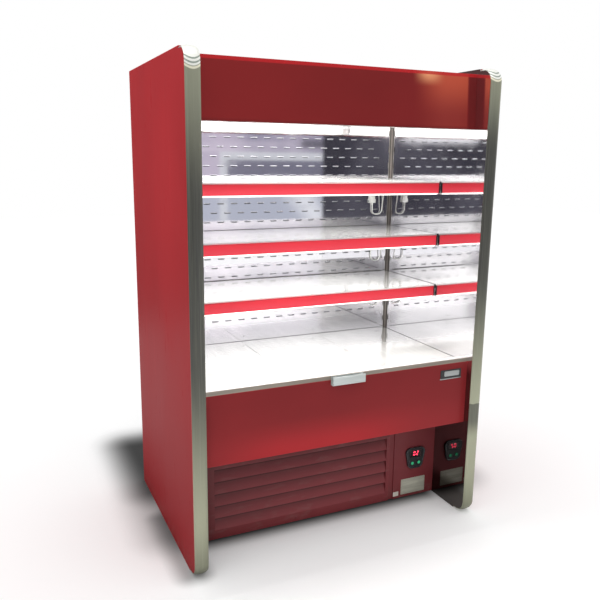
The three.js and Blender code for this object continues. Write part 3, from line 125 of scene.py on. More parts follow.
class FridgeLight(bpy.types.PropertyGroup):
    """Light levels of the studio and of the fridge's own lamps."""

    sky: FloatProperty(name="Sky", description="Soft light from all round", default=0.84, min=0)
    key: FloatProperty(name="Key", description="Strength of the soft key light", default=0.7, min=0)
    floor_lift: FloatProperty(name="Floor lift", description="Brightness added to the pale floor", default=0.16)
    shelf_lamp: FloatProperty(name="Shelf lamp", description="Power of each shelf lamp", default=1.2, unit="POWER")
    canopy_lamp: FloatProperty(name="Canopy lamp", description="Power of the canopy lamp", default=1.6, unit="POWER")
    bay_fill: FloatProperty(name="Bay fill", description="Soft light between two shelves", default=3.1, unit="POWER")


def colours():
    return bpy.context.scene.fridge_colours


def sizes():
    return bpy.context.scene.fridge_sizes


def light_levels():
    return bpy.context.scene.fridge_light


# ------------------------------------------------------------------ shader maths


class Signal:
    """A shader value; sums on it add Math nodes."""

    def __init__(self, network, socket):
        self.network = network
        self.socket = socket

    def math(self, operation, *others):
        return self.network.node("Math", {"operation": operation}, dict(enumerate((self, *others))))

    def __add__(self, other):
        return self.math("ADD", other)

    def __radd__(self, other):
        return self.math("ADD", other)

    def __sub__(self, other):
        return self.math("SUBTRACT", other)

    def __rsub__(self, other):
        return self.network.node("Math", {"operation": "SUBTRACT"}, {0: other, 1: self})

    def __mul__(self, other):
        return self.math("MULTIPLY", other)

    def __rmul__(self, other):
        return self.math("MULTIPLY", other)

    def __truediv__(self, other):
        return self.math("DIVIDE", other)

    def __pow__(self, other):
        return self.math("POWER", other)

    def __mod__(self, other):
        return self.math("FLOORED_MODULO", other)

    def __lt__(self, other):
        return self.math("LESS_THAN", other)

    def __gt__(self, other):
        return self.math("GREATER_THAN", other)

    def __abs__(self):
        return self.math("ABSOLUTE")

    def rise(self, start, end):
        """0 before start, 1 after end, smooth between."""
        return self.network.node(
            "MapRange",
            {"interpolation_type": "SMOOTHSTEP"},
            {"Value": self, "From Min": start, "From Max": end, "To Min": 0.0, "To Max": 1.0},
        )


class Network:
    """The nodes of a material, a lamp or the sky while they are put together."""

    def __init__(self, owner):
        owner.use_nodes = True
        self.tree = owner.node_tree
        self.tree.nodes.clear()

    def node(self, kind, settings=None, values=None, output=0):
        """Adds a shader node: its settings first, then the values or links of its sockets."""
        made = self.tree.nodes.new("ShaderNode" + kind)
        for name, value in (settings or {}).items():
            if name == "stops":
                self.set_stops(made.color_ramp.elements, value)
            else:
                setattr(made, name, value)
        for name, value in (values or {}).items():
            if isinstance(value, Signal):
                self.tree.links.new(value.socket, made.inputs[name])
            else:
                made.inputs[name].default_value = value
        return Signal(self, made.outputs[output]) if made.outputs else made

    @staticmethod
    def set_stops(elements, stops):
        while len(elements) < len(stops):
            elements.new(0.5)
        for element, (position, colour) in zip(elements, stops):
            element.position = position
            element.color = colour

    def mix(self, factor, first, second):
        """Colour between first and second."""
        return self.node("Mix", {"data_type": "RGBA"}, {0: factor, 6: first, 7: second}, output=2)


class Finish(Network):
    """A material of the fridge, in metres of the fridge's own frame."""

    def __init__(self, name):
        self.material = bpy.data.materials.new(name)
        super().__init__(self.material)
        self.place = self.node("TexCoord", output=3)
        self.split = self.node("SeparateXYZ", values={0: self.place})

    def axis(self, name):
        outputs = self.split.socket.node.outputs
        return Signal(self, outputs["XYZ".index(name.upper())])

    def noise(self, scale, detail=2.0, stretch=(1, 1, 1), roughness=0.5):
        """Cloudy pattern; stretch thins it along an axis."""
        where = self.node("VectorMath", {"operation": "MULTIPLY"}, {0: self.place, 1: stretch})
        return self.node(
            "TexNoise", values={"Vector": where, "Scale": scale, "Detail": detail, "Roughness": roughness}
        )

    def cells(self, scale, output="Distance", stretch=(1, 1, 1)):
        """Cell pattern, as of zinc crystals."""
        where = self.node("VectorMath", {"operation": "MULTIPLY"}, {0: self.place, 1: stretch})
        return self.node("TexVoronoi", values={"Vector": where, "Scale": scale}, output=output)

    def edges(self, low, high, width):
        """Mask of the outer edges of a box-shaped piece, with a ragged inner side."""
        ragged = self.noise(70, 3) * (2 * width)
        near = 0.0
        for name, start, end in zip("xyz", low, high):
            inward = (end - start) / 2 - abs(self.axis(name) - (start + end) / 2)
            near = (inward < ragged) + near
        return near > 1.5

    def bump(self, height, distance, strength=1.0, below=None):
        values = {"Height": height, "Distance": distance, "Strength": strength}
        if below is not None:
            values["Normal"] = below
        return self.node("Bump", values=values)

    def surface(self, **values):
        """Ends the material in a Principled surface. Keywords are its socket names."""
        named = {name.replace("_", " ").title().replace("Ior", "IOR"): v for name, v in values.items()}
        surface = self.node("BsdfPrincipled", values=named)
        self.node("OutputMaterial", values={"Surface": surface})
        return self.material


# ------------------------------------------------------------------ finishes


PAINT_GLOSS = {"coat_weight": 0.10, "coat_roughness": 0.16, "specular_ior_level": 0.22}
SATIN_GLOSS = {"coat_weight": 0.05, "coat_roughness": 0.2, "specular_ior_level": 0.10}
POWDER_GLOSS = {"coat_weight": 0.0, "coat_roughness": 0.25, "specular_ior_level": 0.02}


def paint(name, colour, box, edge=0.0016, shade_height=None, gloss=PAINT_GLOSS, inner=None):
    """Semi-gloss sheet paint with orange peel, faint clouds, thin worn edges and dust low down.

    shade_height darkens it towards the floor as painted shade; inner is the |x| within which the inner face is painted
    dark as shade.
    """
    finish = Finish(name)
    clouds = finish.noise(1.7, 3.0, (1.0, 1.0, 0.6)).rise(0.3, 0.72)
    tone = finish.mix(clouds, toned(colour, 0.90), toned(colour, 1.07))
    if shade_height:
        # Painted shade: darker towards the floor.
        low = 1 - finish.axis("z").rise(0.0, shade_height)
        tone = finish.mix(low * 0.9, tone, toned(colour, 0.58))
    streaks = finish.noise(9, 4, (4.0, 4.0, 0.25)).rise(0.56, 0.78)
    tone = finish.mix(streaks * 0.10, tone, toned(colour, 1.5))
    dust = (1 - finish.axis("z").rise(0.0, 0.10)) * finish.noise(35, 4).rise(0.35, 0.8)
    tone = finish.mix(dust * 0.22, tone, linear("8E8078"))
    worn = finish.edges(*box, edge)
    tone = finish.mix(worn * 0.5, tone, toned(colour, 1.8))
    if inner:
        # Painted shade: the inner face dark.
        tone = finish.mix((abs(finish.axis("x")) < inner) * 0.9, tone, linear("3B3329"))
    scuffs = finish.noise(38, 6, (1.0, 1.0, 0.2), 0.7).rise(0.62, 0.7)
    peel = finish.noise(520, 2)
    return finish.surface(
        base_color=tone,
        roughness=0.40 + clouds * 0.10 + scuffs * 0.16 + dust * 0.2,
        normal=finish.bump(peel, 0.00006, 0.5, finish.bump(scuffs, 0.00005, 0.3)),
        **gloss,
    )


def brushed(name, colour, grain, roughness=0.32, dark=0.72, metallic=1.0):
    """Brushed metal sheet; grain is how much the pattern is squeezed along each axis."""
    finish = Finish(name)
    hair = finish.noise(34, 5, grain, 0.65)
    broad = finish.noise(3.1, 3, tuple(min(g, 1.0) for g in grain))
    tone = finish.mix(hair.rise(0.3, 0.7), toned(colour, dark), toned(colour, 1.08))
    tone = finish.mix(broad.rise(0.35, 0.75) * 0.35, tone, toned(colour, 0.7))
    prints = finish.noise(13, 5).rise(0.58, 0.74)
    return finish.surface(
        base_color=tone,
        metallic=metallic,
        roughness=roughness + hair * 0.12 + prints * 0.08 - 0.06,
        normal=finish.bump(hair, 0.00005, 0.55, finish.bump(broad, 0.0012, 0.25)),
    )


def mirror(name, colour, roughness=0.055, wave=0.0016, foot=None):
    """Polished steel: a slightly uneven mirror, wiped marks, fine scratches, and painted shade below foot, darkest
    near the floor.
    """
    finish = Finish(name)
    sway = finish.noise(1.4, 2)
    wiped = finish.noise(7, 5, (1.0, 1.0, 2.5), 0.6).rise(0.5, 0.8)
    scratch = finish.noise(60, 6, (0.05, 1.0, 3.0), 0.8).rise(0.62, 0.72)
    tone = finish.mix(wiped * 0.30, colour, toned(colour, 0.80))
    if foot:
        # Painted shade: darker below foot, darkest near the floor.
        darker_zone = 1 - finish.axis("z").rise(foot - 0.06, foot)
        tone = finish.mix(darker_zone * 0.9, tone, linear("7A7776"))
        painted_floor_shade = 1 - finish.axis("z").rise(0.08, 0.14)
        tone = finish.mix(painted_floor_shade * 0.8, tone, linear("38302B"))
    return finish.surface(
        base_color=tone,
        metallic=1.0,
        roughness=roughness + wiped * 0.07 + scratch * 0.10,
        normal=finish.bump(scratch, 0.00003, 0.4, finish.bump(sway, wave, 0.35)),
    )


def galvanised(name, colour):
    """Zinc-coated sheet with its crystal pattern."""
    finish = Finish(name)
    crystals = finish.cells(55, "Color")
    grey = finish.node("RGBToBW", values={0: crystals})
    tone = finish.mix(grey, toned(colour, 0.74), toned(colour, 1.15))
    stains = finish.noise(4, 4).rise(0.5, 0.8)
    tone = finish.mix(stains * 0.3, tone, toned(colour, 0.55))
    return finish.surface(
        base_color=tone,
        metallic=0.9,
        roughness=0.38 + grey * 0.16 + stains * 0.14,
        normal=finish.bump(finish.noise(300, 3), 0.00004, 0.5),
    )


def moulded(name, colour, roughness=0.42, grain=700, coat=0.0):
    """Moulded plastic or thick enamel with a fine grain and handling marks."""
    finish = Finish(name)
    marks = finish.noise(14, 5).rise(0.45, 0.8)
    tone = finish.mix(marks, toned(colour, 1.0), toned(colour, 0.84))
    specks = finish.cells(420).rise(0.0, 0.25)
    tone = finish.mix((1 - specks) * 0.12, tone, toned(colour, 1.5))
    return finish.surface(
        base_color=tone,
        roughness=roughness + marks * 0.12,
        coat_weight=coat,
        coat_roughness=0.08,
        normal=finish.bump(finish.noise(grain, 3), 0.00006, 0.5),
    )


def lit(name, colour, strength, half_length, tube_y=None):
    """Lit diffuser: brightest along its tube, a little dimmer at its ends."""
    finish = Finish(name)
    ends = abs(finish.axis("x")).rise(half_length * 0.93, half_length)
    glow = finish.mix(ends * 0.45, colour, toned(colour, 0.5))
    if tube_y is not None:
        away = abs(finish.axis("y") - tube_y).rise(0.003, 0.012)
        glow = finish.mix(away * 0.25, glow, toned(colour, 0.7))
    ribs = (finish.axis("x") * 250) % 1.0
    return finish.surface(
        base_color=linear("F1F1EE"),
        roughness=0.32,
        emission_color=glow,
        emission_strength=strength,
        normal=finish.bump(abs(ribs - 0.5), 0.0003, 0.4),
    )


def finned(name, colour, pitch, axis="x", roughness=0.4):
    """Aluminium fin block: fine fin lines between its deeper grooves, which are painted dark as shade."""
    finish = Finish(name)
    line = abs((finish.axis(axis) / pitch) % 1.0 - 0.5)
    bent = finish.noise(22, 4).rise(0.5, 0.75)
    # Painted shade: dark between the fin lines.
    tone = finish.mix(line.rise(0.1, 0.45), toned(colour, 0.45), toned(colour, 1.05))
    tone = finish.mix(bent * 0.35, tone, toned(colour, 0.62))
    return finish.surface(
        base_color=tone,
        metallic=0.9,
        roughness=roughness + bent * 0.15,
        normal=finish.bump(line, 0.0007, 0.8),
    )


def copper(name):
    """Copper pipe with darker bends and thumb marks."""
    finish = Finish(name)
    stains = finish.noise(18, 5).rise(0.35, 0.75)
    tone = finish.mix(stains, linear("C27A55"), linear("6E4030"))
    return finish.surface(
        base_color=tone,
        metallic=1.0,
        roughness=0.28 + stains * 0.3,
        normal=finish.bump(finish.noise(160, 3), 0.0001, 0.4),
    )


def woven(name, colour, pitch):
    """Woven blind fabric: crossing threads, with faint creases that are darkened as painted shade."""
    finish = Finish(name)
    across = abs((finish.axis("x") / pitch) % 1.0 - 0.5)
    along = abs((finish.axis("z") / pitch) % 1.0 - 0.5)
    threads = (across + along).rise(0.15, 0.75)
    creases = finish.noise(5, 3, (0.4, 1.0, 6.0))
    tone = finish.mix(threads, toned(colour, 0.62), toned(colour, 1.08))
    # Painted shade in the creases.
    tone = finish.mix(creases.rise(0.45, 0.7) * 0.3, tone, toned(colour, 0.8))
    return finish.surface(
        base_color=tone,
        roughness=0.72 + creases * 0.12,
        metallic=0.15,
        normal=finish.bump(threads, 0.0002, 0.7, finish.bump(creases, 0.002, 0.3)),
    )


def glowing(name, colour, strength, body):
    """Lit segment or symbol behind dark plastic."""
    finish = Finish(name)
    core = finish.noise(140, 2).rise(0.2, 0.8)
    glow = finish.mix(core, toned(colour, 0.7), colour)
    return finish.surface(
        base_color=body, roughness=0.25, emission_color=glow, emission_strength=strength,
        normal=finish.bump(core, 0.0001, 0.3),
    )


# ------------------------------------------------------------------ mesh helpers


class Shape:
    """A mesh being put together, in metres of the fridge's own frame."""

    def __init__(self):
        self.mesh = bmesh.new()

    def block(self, low, high, chamfer=0.0, segments=2):
        """Adds a block with rounded edges."""
        made = bmesh.ops.create_cube(self.mesh, size=1.0)["verts"]
        low, high = Vector(low), Vector(high)
        for vertex in made:
            vertex.co = Vector(
                (low[i] + high[i]) / 2 + vertex.co[i] * (high[i] - low[i]) for i in range(3)
            )
        if chamfer:
            edges = list({edge for vertex in made for edge in vertex.link_edges})
            bmesh.ops.bevel(
                self.mesh, geom=edges, offset=chamfer, segments=segments, affect="EDGES", profile=0.5
            )

    def prism(self, outline, axis, start, end):
        """Adds an outline of points drawn out along an axis; the points give the other two in order."""
        order = {"x": (1, 2, 0), "y": (0, 2, 1), "z": (0, 1, 2)}[axis]
        rings = []
        for along in (start, end):
            ring = []
            for u, v in outline:
                point = [0.0, 0.0, 0.0]
                point[order[0]], point[order[1]], point[order[2]] = u, v, along
                ring.append(self.mesh.verts.new(point))
            rings.append(ring)
        self.bridge(rings)
        self.mesh.faces.new(rings[0][::-1])
        self.mesh.faces.new(rings[1])

    def bridge(self, rings, closed=True):
        """Adds the faces between neighbouring rings of vertices."""
        for first, second in zip(rings, rings[1:]):
            count = len(first)
            for i in range(count if closed else count - 1):
                j = (i + 1) % count
                self.mesh.faces.new((first[i], first[j], second[j], second[i]))

    def turned(self, profile, centre, axis, steps=32):
        """Adds a turned shape: profile is [(radius, distance along the axis)] from end to end."""
        centre = Vector(centre)
        basis = {
            "x": (Vector((0, 1, 0)), Vector((0, 0, 1)), Vector((1, 0, 0))),
            "y": (Vector((0, 0, 1)), Vector((1, 0, 0)), Vector((0, 1, 0))),
            "z": (Vector((1, 0, 0)), Vector((0, 1, 0)), Vector((0, 0, 1))),
        }[axis]
        rings = []
        for radius, along in profile:
            ring = []
            for i in range(steps):
                angle = 2 * math.pi * i / steps
                around = basis[0] * math.cos(angle) + basis[1] * math.sin(angle)
                ring.append(self.mesh.verts.new(centre + around * radius + basis[2] * along))
            rings.append(ring)
        self.bridge(rings)
        self.mesh.faces.new(rings[0][::-1])
        self.mesh.faces.new(rings[-1])

    def tube(self, points, radius, sides=12):
        """Adds a round tube along a line of points."""
        rings = []
        across = Vector((0, 0, 1))
        for i, point in enumerate(points):
            before, after = points[max(i - 1, 0)], points[min(i + 1, len(points) - 1)]
            along = (after - before).normalized()
            across = across - along * across.dot(along)
            if across.length < 0.2:
                across = along.orthogonal()
            across.normalize()
            other = along.cross(across)
            rings.append([
                self.mesh.verts.new(
                    point
                    + across * radius * math.cos(2 * math.pi * k / sides)
                    + other * radius * math.sin(2 * math.pi * k / sides)
                )
                for k in range(sides)
            ])
        self.bridge(rings)
        self.mesh.faces.new(rings[0][::-1])
        self.mesh.faces.new(rings[-1])

    def screw(self, place, axis, radius, outward=-1):
        """Adds a domed screw head with a small round recess, standing on a plane."""
        dome = [(radius, 0.0), (radius, 0.22 * radius), (0.86 * radius, 0.42 * radius),
                (0.55 * radius, 0.55 * radius), (0.30 * radius, 0.58 * radius), (0.14 * radius, 0.30 * radius)]
        self.turned([(r, outward * h) for r, h in dome], place, axis, 14)

    def piece(self, name, body, material, smooth=35.0):
        """Makes the object and lets it ride on a body of the frame."""
        bmesh.ops.recalc_face_normals(self.mesh, faces=self.mesh.faces)
        data = bpy.data.meshes.new(name)
        self.mesh.to_mesh(data)
        self.mesh.free()
        made = bpy.data.objects.new(name, data)
        bpy.context.scene.collection.objects.link(made)
        data.materials.append(material)
        if smooth:
            data.shade_smooth()
            data.set_sharp_from_angle(angle=math.radians(smooth))
        if body:
            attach(made, body)
        return made


def rounded_path(corners, radius, steps=6):
    """Points along straight runs joined by round bends."""
    corners = [Vector(c) for c in corners]
    path = [corners[0]]
    for before, corner, after in zip(corners, corners[1:], corners[2:]):
        inward = (before - corner).normalized()
        outward = (after - corner).normalized()
        half = inward.angle(outward) / 2
        reach = min(radius / math.tan(half), 0.48 * min((before - corner).length, (after - corner).length))
        start, end = corner + inward * reach, corner + outward * reach
        for i in range(steps + 1):
            t = i / steps
            path.append(start * (1 - t) ** 2 + corner * 2 * t * (1 - t) + end * t**2)
    path.append(corners[-1])
    return path


def rounded_outline(centre, width, height, radius, steps=6, foot=1.0):
    """Outline of a rounded rectangle; foot narrows its lower corners."""
    points = []
    for corner, (sx, sz) in enumerate(((1, 1), (-1, 1), (-1, -1), (1, -1))):
        half = width / 2 * (foot if sz < 0 else 1.0)
        for i in range(steps + 1):
            angle = math.radians(90 * corner + 90 * i / steps)
            points.append((
                centre[0] + sx * (half - radius) + radius * math.cos(angle),
                centre[1] + sz * (height / 2 - radius) + radius * math.sin(angle),
            ))
    return points


def wear(node, material):
    """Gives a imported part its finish."""
    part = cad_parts[node]
    part.data.materials.clear()
    part.data.materials.append(material)
    return part


def smooth_part(node, angle=30.0):
    """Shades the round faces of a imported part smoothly."""
    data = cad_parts[node].data
    data.shade_smooth()
    data.set_sharp_from_angle(angle=math.radians(angle))


# ------------------------------------------------------------------ stage


class FRIDGE_OT_stage(bpy.types.Operator):
    """Adds the camera, the sky, the floor, the soft key light and the dark room that the steel mirrors"""

    bl_idname = "fridge.stage"
    bl_label = "Stage"

    camera_place = Vector((-1.1759, -2.5024, 1.4596))
    camera_turn = tuple(math.radians(a) for a in (78.1112, -0.7094, -24.6449))
    camera_lens = 41.0765
    shades = (
        ((-0.57, 0.72), (-0.08, 0.86), 0.24, 0.65),
        ((-0.61, -0.58), (-0.38, 0.05), 0.085, 0.55),
        ((-0.57, -0.30), (0.30, 0.80), 0.20, 0.84),
        ((-0.53, 0.50), (-0.175, 0.10), 0.10, 0.95),
    )

    def execute(self, context):
        context.scene.view_settings.view_transform = "Standard"
        self.add_camera(context.scene)
        self.add_sky(context.scene)
        self.add_floor()
        self.add_key_light()
        self.add_card("room_card", (-7.0, -4.2, 0.35), (8.0, -4.2, 3.2), self.room_finish())
        self.add_card("side_card", (-5.0, 3.4, 0.0), (-0.9, 3.4, 2.8), self.side_finish())
        return {"FINISHED"}

    def add_camera(self, scene):
        data = bpy.data.cameras.new("photo_camera")
        data.lens = self.camera_lens
        data.sensor_width = 36.0
        camera = bpy.data.objects.new("photo_camera", data)
        camera.location = self.camera_place
        camera.rotation_euler = self.camera_turn
        scene.collection.objects.link(camera)
        scene.camera = camera

    def add_sky(self, scene):
        world = bpy.data.worlds.new("studio_sky")
        scene.world = world
        sky = Network(world)
        path = sky.node("LightPath")
        outputs = path.socket.node.outputs
        seen = Signal(sky, outputs["Is Camera Ray"]) + Signal(sky, outputs["Is Glossy Ray"])
        seen = seen + Signal(sky, outputs["Is Transmission Ray"])
        level = light_levels().sky
        lighting = sky.node("Background", values={"Color": (1, 1, 1, 1), "Strength": level})
        backdrop = sky.node("Background", values={"Color": (1, 1, 1, 1), "Strength": 1.0})
        both = sky.node("MixShader", values={0: seen > 0.5, 1: lighting, 2: backdrop})
        sky.node("OutputWorld", values={"Surface": both})

    def add_floor(self):
        finish = Finish("pale_floor")
        path = finish.node("LightPath")
        outputs = path.socket.node.outputs
        seen = Signal(finish, outputs["Is Camera Ray"]) + Signal(finish, outputs["Is Glossy Ray"])
        shade = self.floor_shade(finish)
        pale = finish.mix(finish.noise(2.0, 3), (0.86, 0.86, 0.86, 1), (0.89, 0.89, 0.89, 1))
        pale = finish.mix(shade, pale, (0.01, 0.01, 0.01, 1))
        body = finish.node("BsdfDiffuse", values={"Color": pale})
        lift = finish.node(
            "Emission", values={"Color": (1, 1, 1, 1), "Strength": seen * (1 - shade) * light_levels().floor_lift}
        )
        total = finish.node("AddShader", values={0: body, 1: lift})
        finish.node("OutputMaterial", values={"Surface": total})
        half = 14.0
        floor = Shape()
        corners = [(-half, -half, 0), (half, -half, 0), (half, half, 0), (-half, half, 0)]
        floor.mesh.faces.new([floor.mesh.verts.new(c) for c in corners])
        floor.piece("studio_floor", None, finish.material, smooth=None)

    def floor_shade(self, finish):
        """Soft shade under the fridge and behind it, from rectangles with soft rims; 0 well outside."""
        light = 1.0
        for across, along, width, strength in self.shades:
            beyond = []
            for name, (start, end) in (("x", across), ("y", along)):
                outside = abs(finish.axis(name) - (start + end) / 2) - (end - start) / 2
                beyond.append(outside.math("MAXIMUM", 0.0))
            distance = (beyond[0] * beyond[0] + beyond[1] * beyond[1]).math("SQRT")
            light = (1 - (1 - distance.rise(0.0, width)) * strength) * light
        return 1 - light

    def add_key_light(self):
        data = bpy.data.lights.new("soft_key", "SUN")
        data.energy = light_levels().key
        data.angle = math.radians(75)
        lamp = bpy.data.objects.new("soft_key", data)
        direction = Vector((0.16, 0.20, -0.96))
        lamp.rotation_euler = direction.to_track_quat("-Z", "Y").to_euler()
        bpy.context.scene.collection.objects.link(lamp)

    def add_card(self, name, low, high, material):
        """An upright card that shows only in reflections."""
        card = Shape()
        corners = [(low[0], low[2]), (high[0], low[2]), (high[0], high[2]), (low[0], high[2])]
        card.mesh.faces.new([card.mesh.verts.new((x, low[1], z)) for x, z in corners])
        made = card.piece(name, None, material, smooth=None)
        made.visible_camera = False
        made.visible_diffuse = False
        made.visible_shadow = False
        made.visible_transmission = False

    def side_finish(self):
        """Dim red-brown wall beside the fridge."""
        finish = Finish("dim_side")
        shade = finish.mix(finish.noise(0.8, 3), linear("3A2A2A"), linear("6A4C4A"))
        glow = finish.node("Emission", values={"Color": shade, "Strength": 1.0})
        finish.node("OutputMaterial", values={"Surface": glow})
        return finish.material

    def room_finish(self):
        """The dim room in front of the fridge: a frame and a doorway at the viewer's left."""
        finish = Finish("dim_room")
        x, z = finish.axis("x"), finish.axis("z")
        clouds = finish.noise(1.3, 4).rise(0.3, 0.75)
        dim = finish.mix(clouds, linear("3C3B43"), linear("5E5D66"))
        paler = finish.mix(clouds, linear("8C8A9E"), linear("C9BFD0"))
        post_x, post_width, beam_z, beam_height, wall_x = 1.23, 0.045, 1.45, 0.045, 2.43
        pale_side = x.rise(0.2, 0.9) * (x < wall_x)
        shade = finish.mix(pale_side, dim, paler)
        post = (abs(x - post_x) < post_width) * (z < beam_z + beam_height) * (z > 0.7)
        beam = (abs(z - beam_z) < beam_height) * (x > post_x) * (x < wall_x)
        inside = (x > post_x) * (x < wall_x) * (z < beam_z)
        shade = finish.mix(inside * 0.85, shade, linear("6E6E7E"))
        low_room = pale_side * (1 - z.rise(1.17, 1.22))
        shade = finish.mix(low_room * 0.9, shade, linear("BCC1CF"))
        sheen = (1 - abs(x + z * 0.9 - 3.05).rise(0.0, 0.30)) * low_room
        shade = finish.mix(sheen * 0.8, shade, linear("F0F2F6"))
        shade = finish.mix((post + beam > 0.5) * 0.85, shade, linear("DCDFE3"))
        streak = finish.noise(3, 4, (0.15, 1, 3.0)).rise(0.5, 0.75) * (z > beam_z + beam_height)
        shade = finish.mix(streak * pale_side * 0.6, shade, linear("EAE0EC"))
        edge = (x > 2.15) * (x < wall_x) * z.rise(1.52, 1.58) * (1 - z.rise(1.60, 1.68))
        shade = finish.mix(edge * 0.8, shade, dim)
        far = (x < -2.42) * (x > -3.55) * z.rise(1.60, 1.67)
        high = z.rise(1.84, 2.02)
        shade = finish.mix(1 - (1 - high) * (1 - far), shade, linear("FFFFFF"))
        shade = finish.mix((1 - z.rise(0.35, 0.8)) * 0.8, shade, linear("C9C9CB"))
        glow = finish.node("Emission", values={"Color": shade, "Strength": 1.0})
        finish.node("OutputMaterial", values={"Surface": glow})
        return finish.material


# ------------------------------------------------------------------ body


class FRIDGE_OT_ends(bpy.types.Operator):
    """Finishes the insulated ends and their steel noses, and adds the glide strips under them"""

    bl_idname = "fridge.ends"
    bl_label = "Ends"

    strip_height = 2.7 * MM
    strip_setback = 70 * MM
    # Heights of the noses' painted reflections and of the painted highlight on their tops, and height of the painted
    # shade at their foot.
    darkens = {"left": (0.22, 0.80), "right": (0.48, 1.05)}
    pales = {"left": (1.30, 1.74), "right": (1.48, 1.74)}
    foot_height = 0.22
    band_low, band_high = 0.38, 0.488
    reflected_dark_steel = (0.075, 0.075, 0.07, 1.0)
    glint = {"left": 1.714, "right": 1.738}

    def execute(self, context):
        tones = colours()
        black = moulded("glide_black", linear("1B1B1C"), 0.55)
        for side in SIDES:
            panel, nose = f"end_panel_{side}", f"end_nose_{side}"
            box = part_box(panel)
            inner = min(abs(corner.x) for corner in box) + 1.5 * MM
            wear(panel, paint(f"end_paint_{side}", tones.end_paint, box, 0.0016, 1.75, POWDER_GLOSS, inner))
            wear(nose, self.nose_finish(side, tones.nose_steel))
            smooth_part(nose)
            smooth_part(panel, 20)
            self.add_glide_strip(side, black)
        return {"FINISHED"}

    def nose_finish(self, side, colour):
        """Steel brushed up and down, with painted reflections: pale at the top, dark half way up, greenish lower down,
        and painted shade towards the foot.
        """
        finish = Finish(f"nose_steel_{side}")
        hair = finish.noise(40, 5, (6.0, 6.0, 0.10), 0.65)
        broad = finish.noise(5, 3, (3.0, 3.0, 0.35)).rise(0.3, 0.75)
        height = finish.axis("z") + broad * 0.02
        # Painted reflection: dark half way up, pale again near the top.
        dark = height.rise(*self.darkens[side]) * (1 - height.rise(*self.pales[side]) * 0.75)
        tone = finish.mix(dark, colour, self.reflected_dark_steel)
        # Painted shade towards the foot.
        foot = 1 - height.rise(0.0, self.foot_height)
        tone = finish.mix(foot * 0.7, tone, toned(colour, 0.35))
        # Painted reflection: a dark band on the right nose.
        if side == "right":
            band = height.rise(self.band_low - 0.04, self.band_low + 0.04) * (height < self.band_high)
            tone = finish.mix(band * 0.8, tone, self.reflected_dark_steel)
        tone = finish.mix(hair.rise(0.25, 0.75) * 0.15, tone, colour)
        streaks = finish.noise(26, 4, (5.0, 5.0, 0.06)).rise(0.55, 0.75)
        tone = finish.mix(streaks * 0.16, tone, linear("C4C6B8"))
        tone = self.nose_top(finish, side, tone)
        return finish.surface(
            base_color=tone,
            metallic=0.72,
            roughness=0.30 + hair * 0.14 + broad * 0.06,
            normal=finish.bump(hair, 0.00006, 0.6),
        )

    def nose_top(self, finish, side, tone):
        """Painted highlight on the rounded top, crossed by two painted dark reflection bands over a bowed painted
        highlight line.
        """
        low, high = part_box(f"end_nose_{side}")
        across = (finish.axis("x") - (low.x + high.x) / 2) / ((high.x - low.x) / 2)
        above = finish.axis("z") - across * across * 0.010 - self.glint[side]
        # Painted highlight on the rounded top.
        tone = finish.mix(above.rise(0.004, 0.008), tone, linear("F2F3EC"))
        # Painted reflection: two dark bands across the top.
        marks = (above > 0.008) * (above < 0.034) * ((above / 0.0125) % 1.0 < 0.42)
        tone = finish.mix(marks * 0.8, tone, linear("7C8A7E"))
        # Painted highlight: a bowed bright line.
        bow = 1 - abs(above).rise(0.002, 0.005)
        return finish.mix(bow * 0.9, tone, linear("F0ECD4"))

    def add_glide_strip(self, side, material):
        low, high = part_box(f"end_panel_{side}")
        inset = 8 * MM
        strip = Shape()
        strip.block(
            (low.x + inset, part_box(f"end_nose_{side}")[0].y + self.strip_setback, 0.0),
            (high.x - inset, high.y - inset, self.strip_height), 0.8 * MM,
        )
        strip.piece(f"glide_strip_{side}", "cabinet", material)


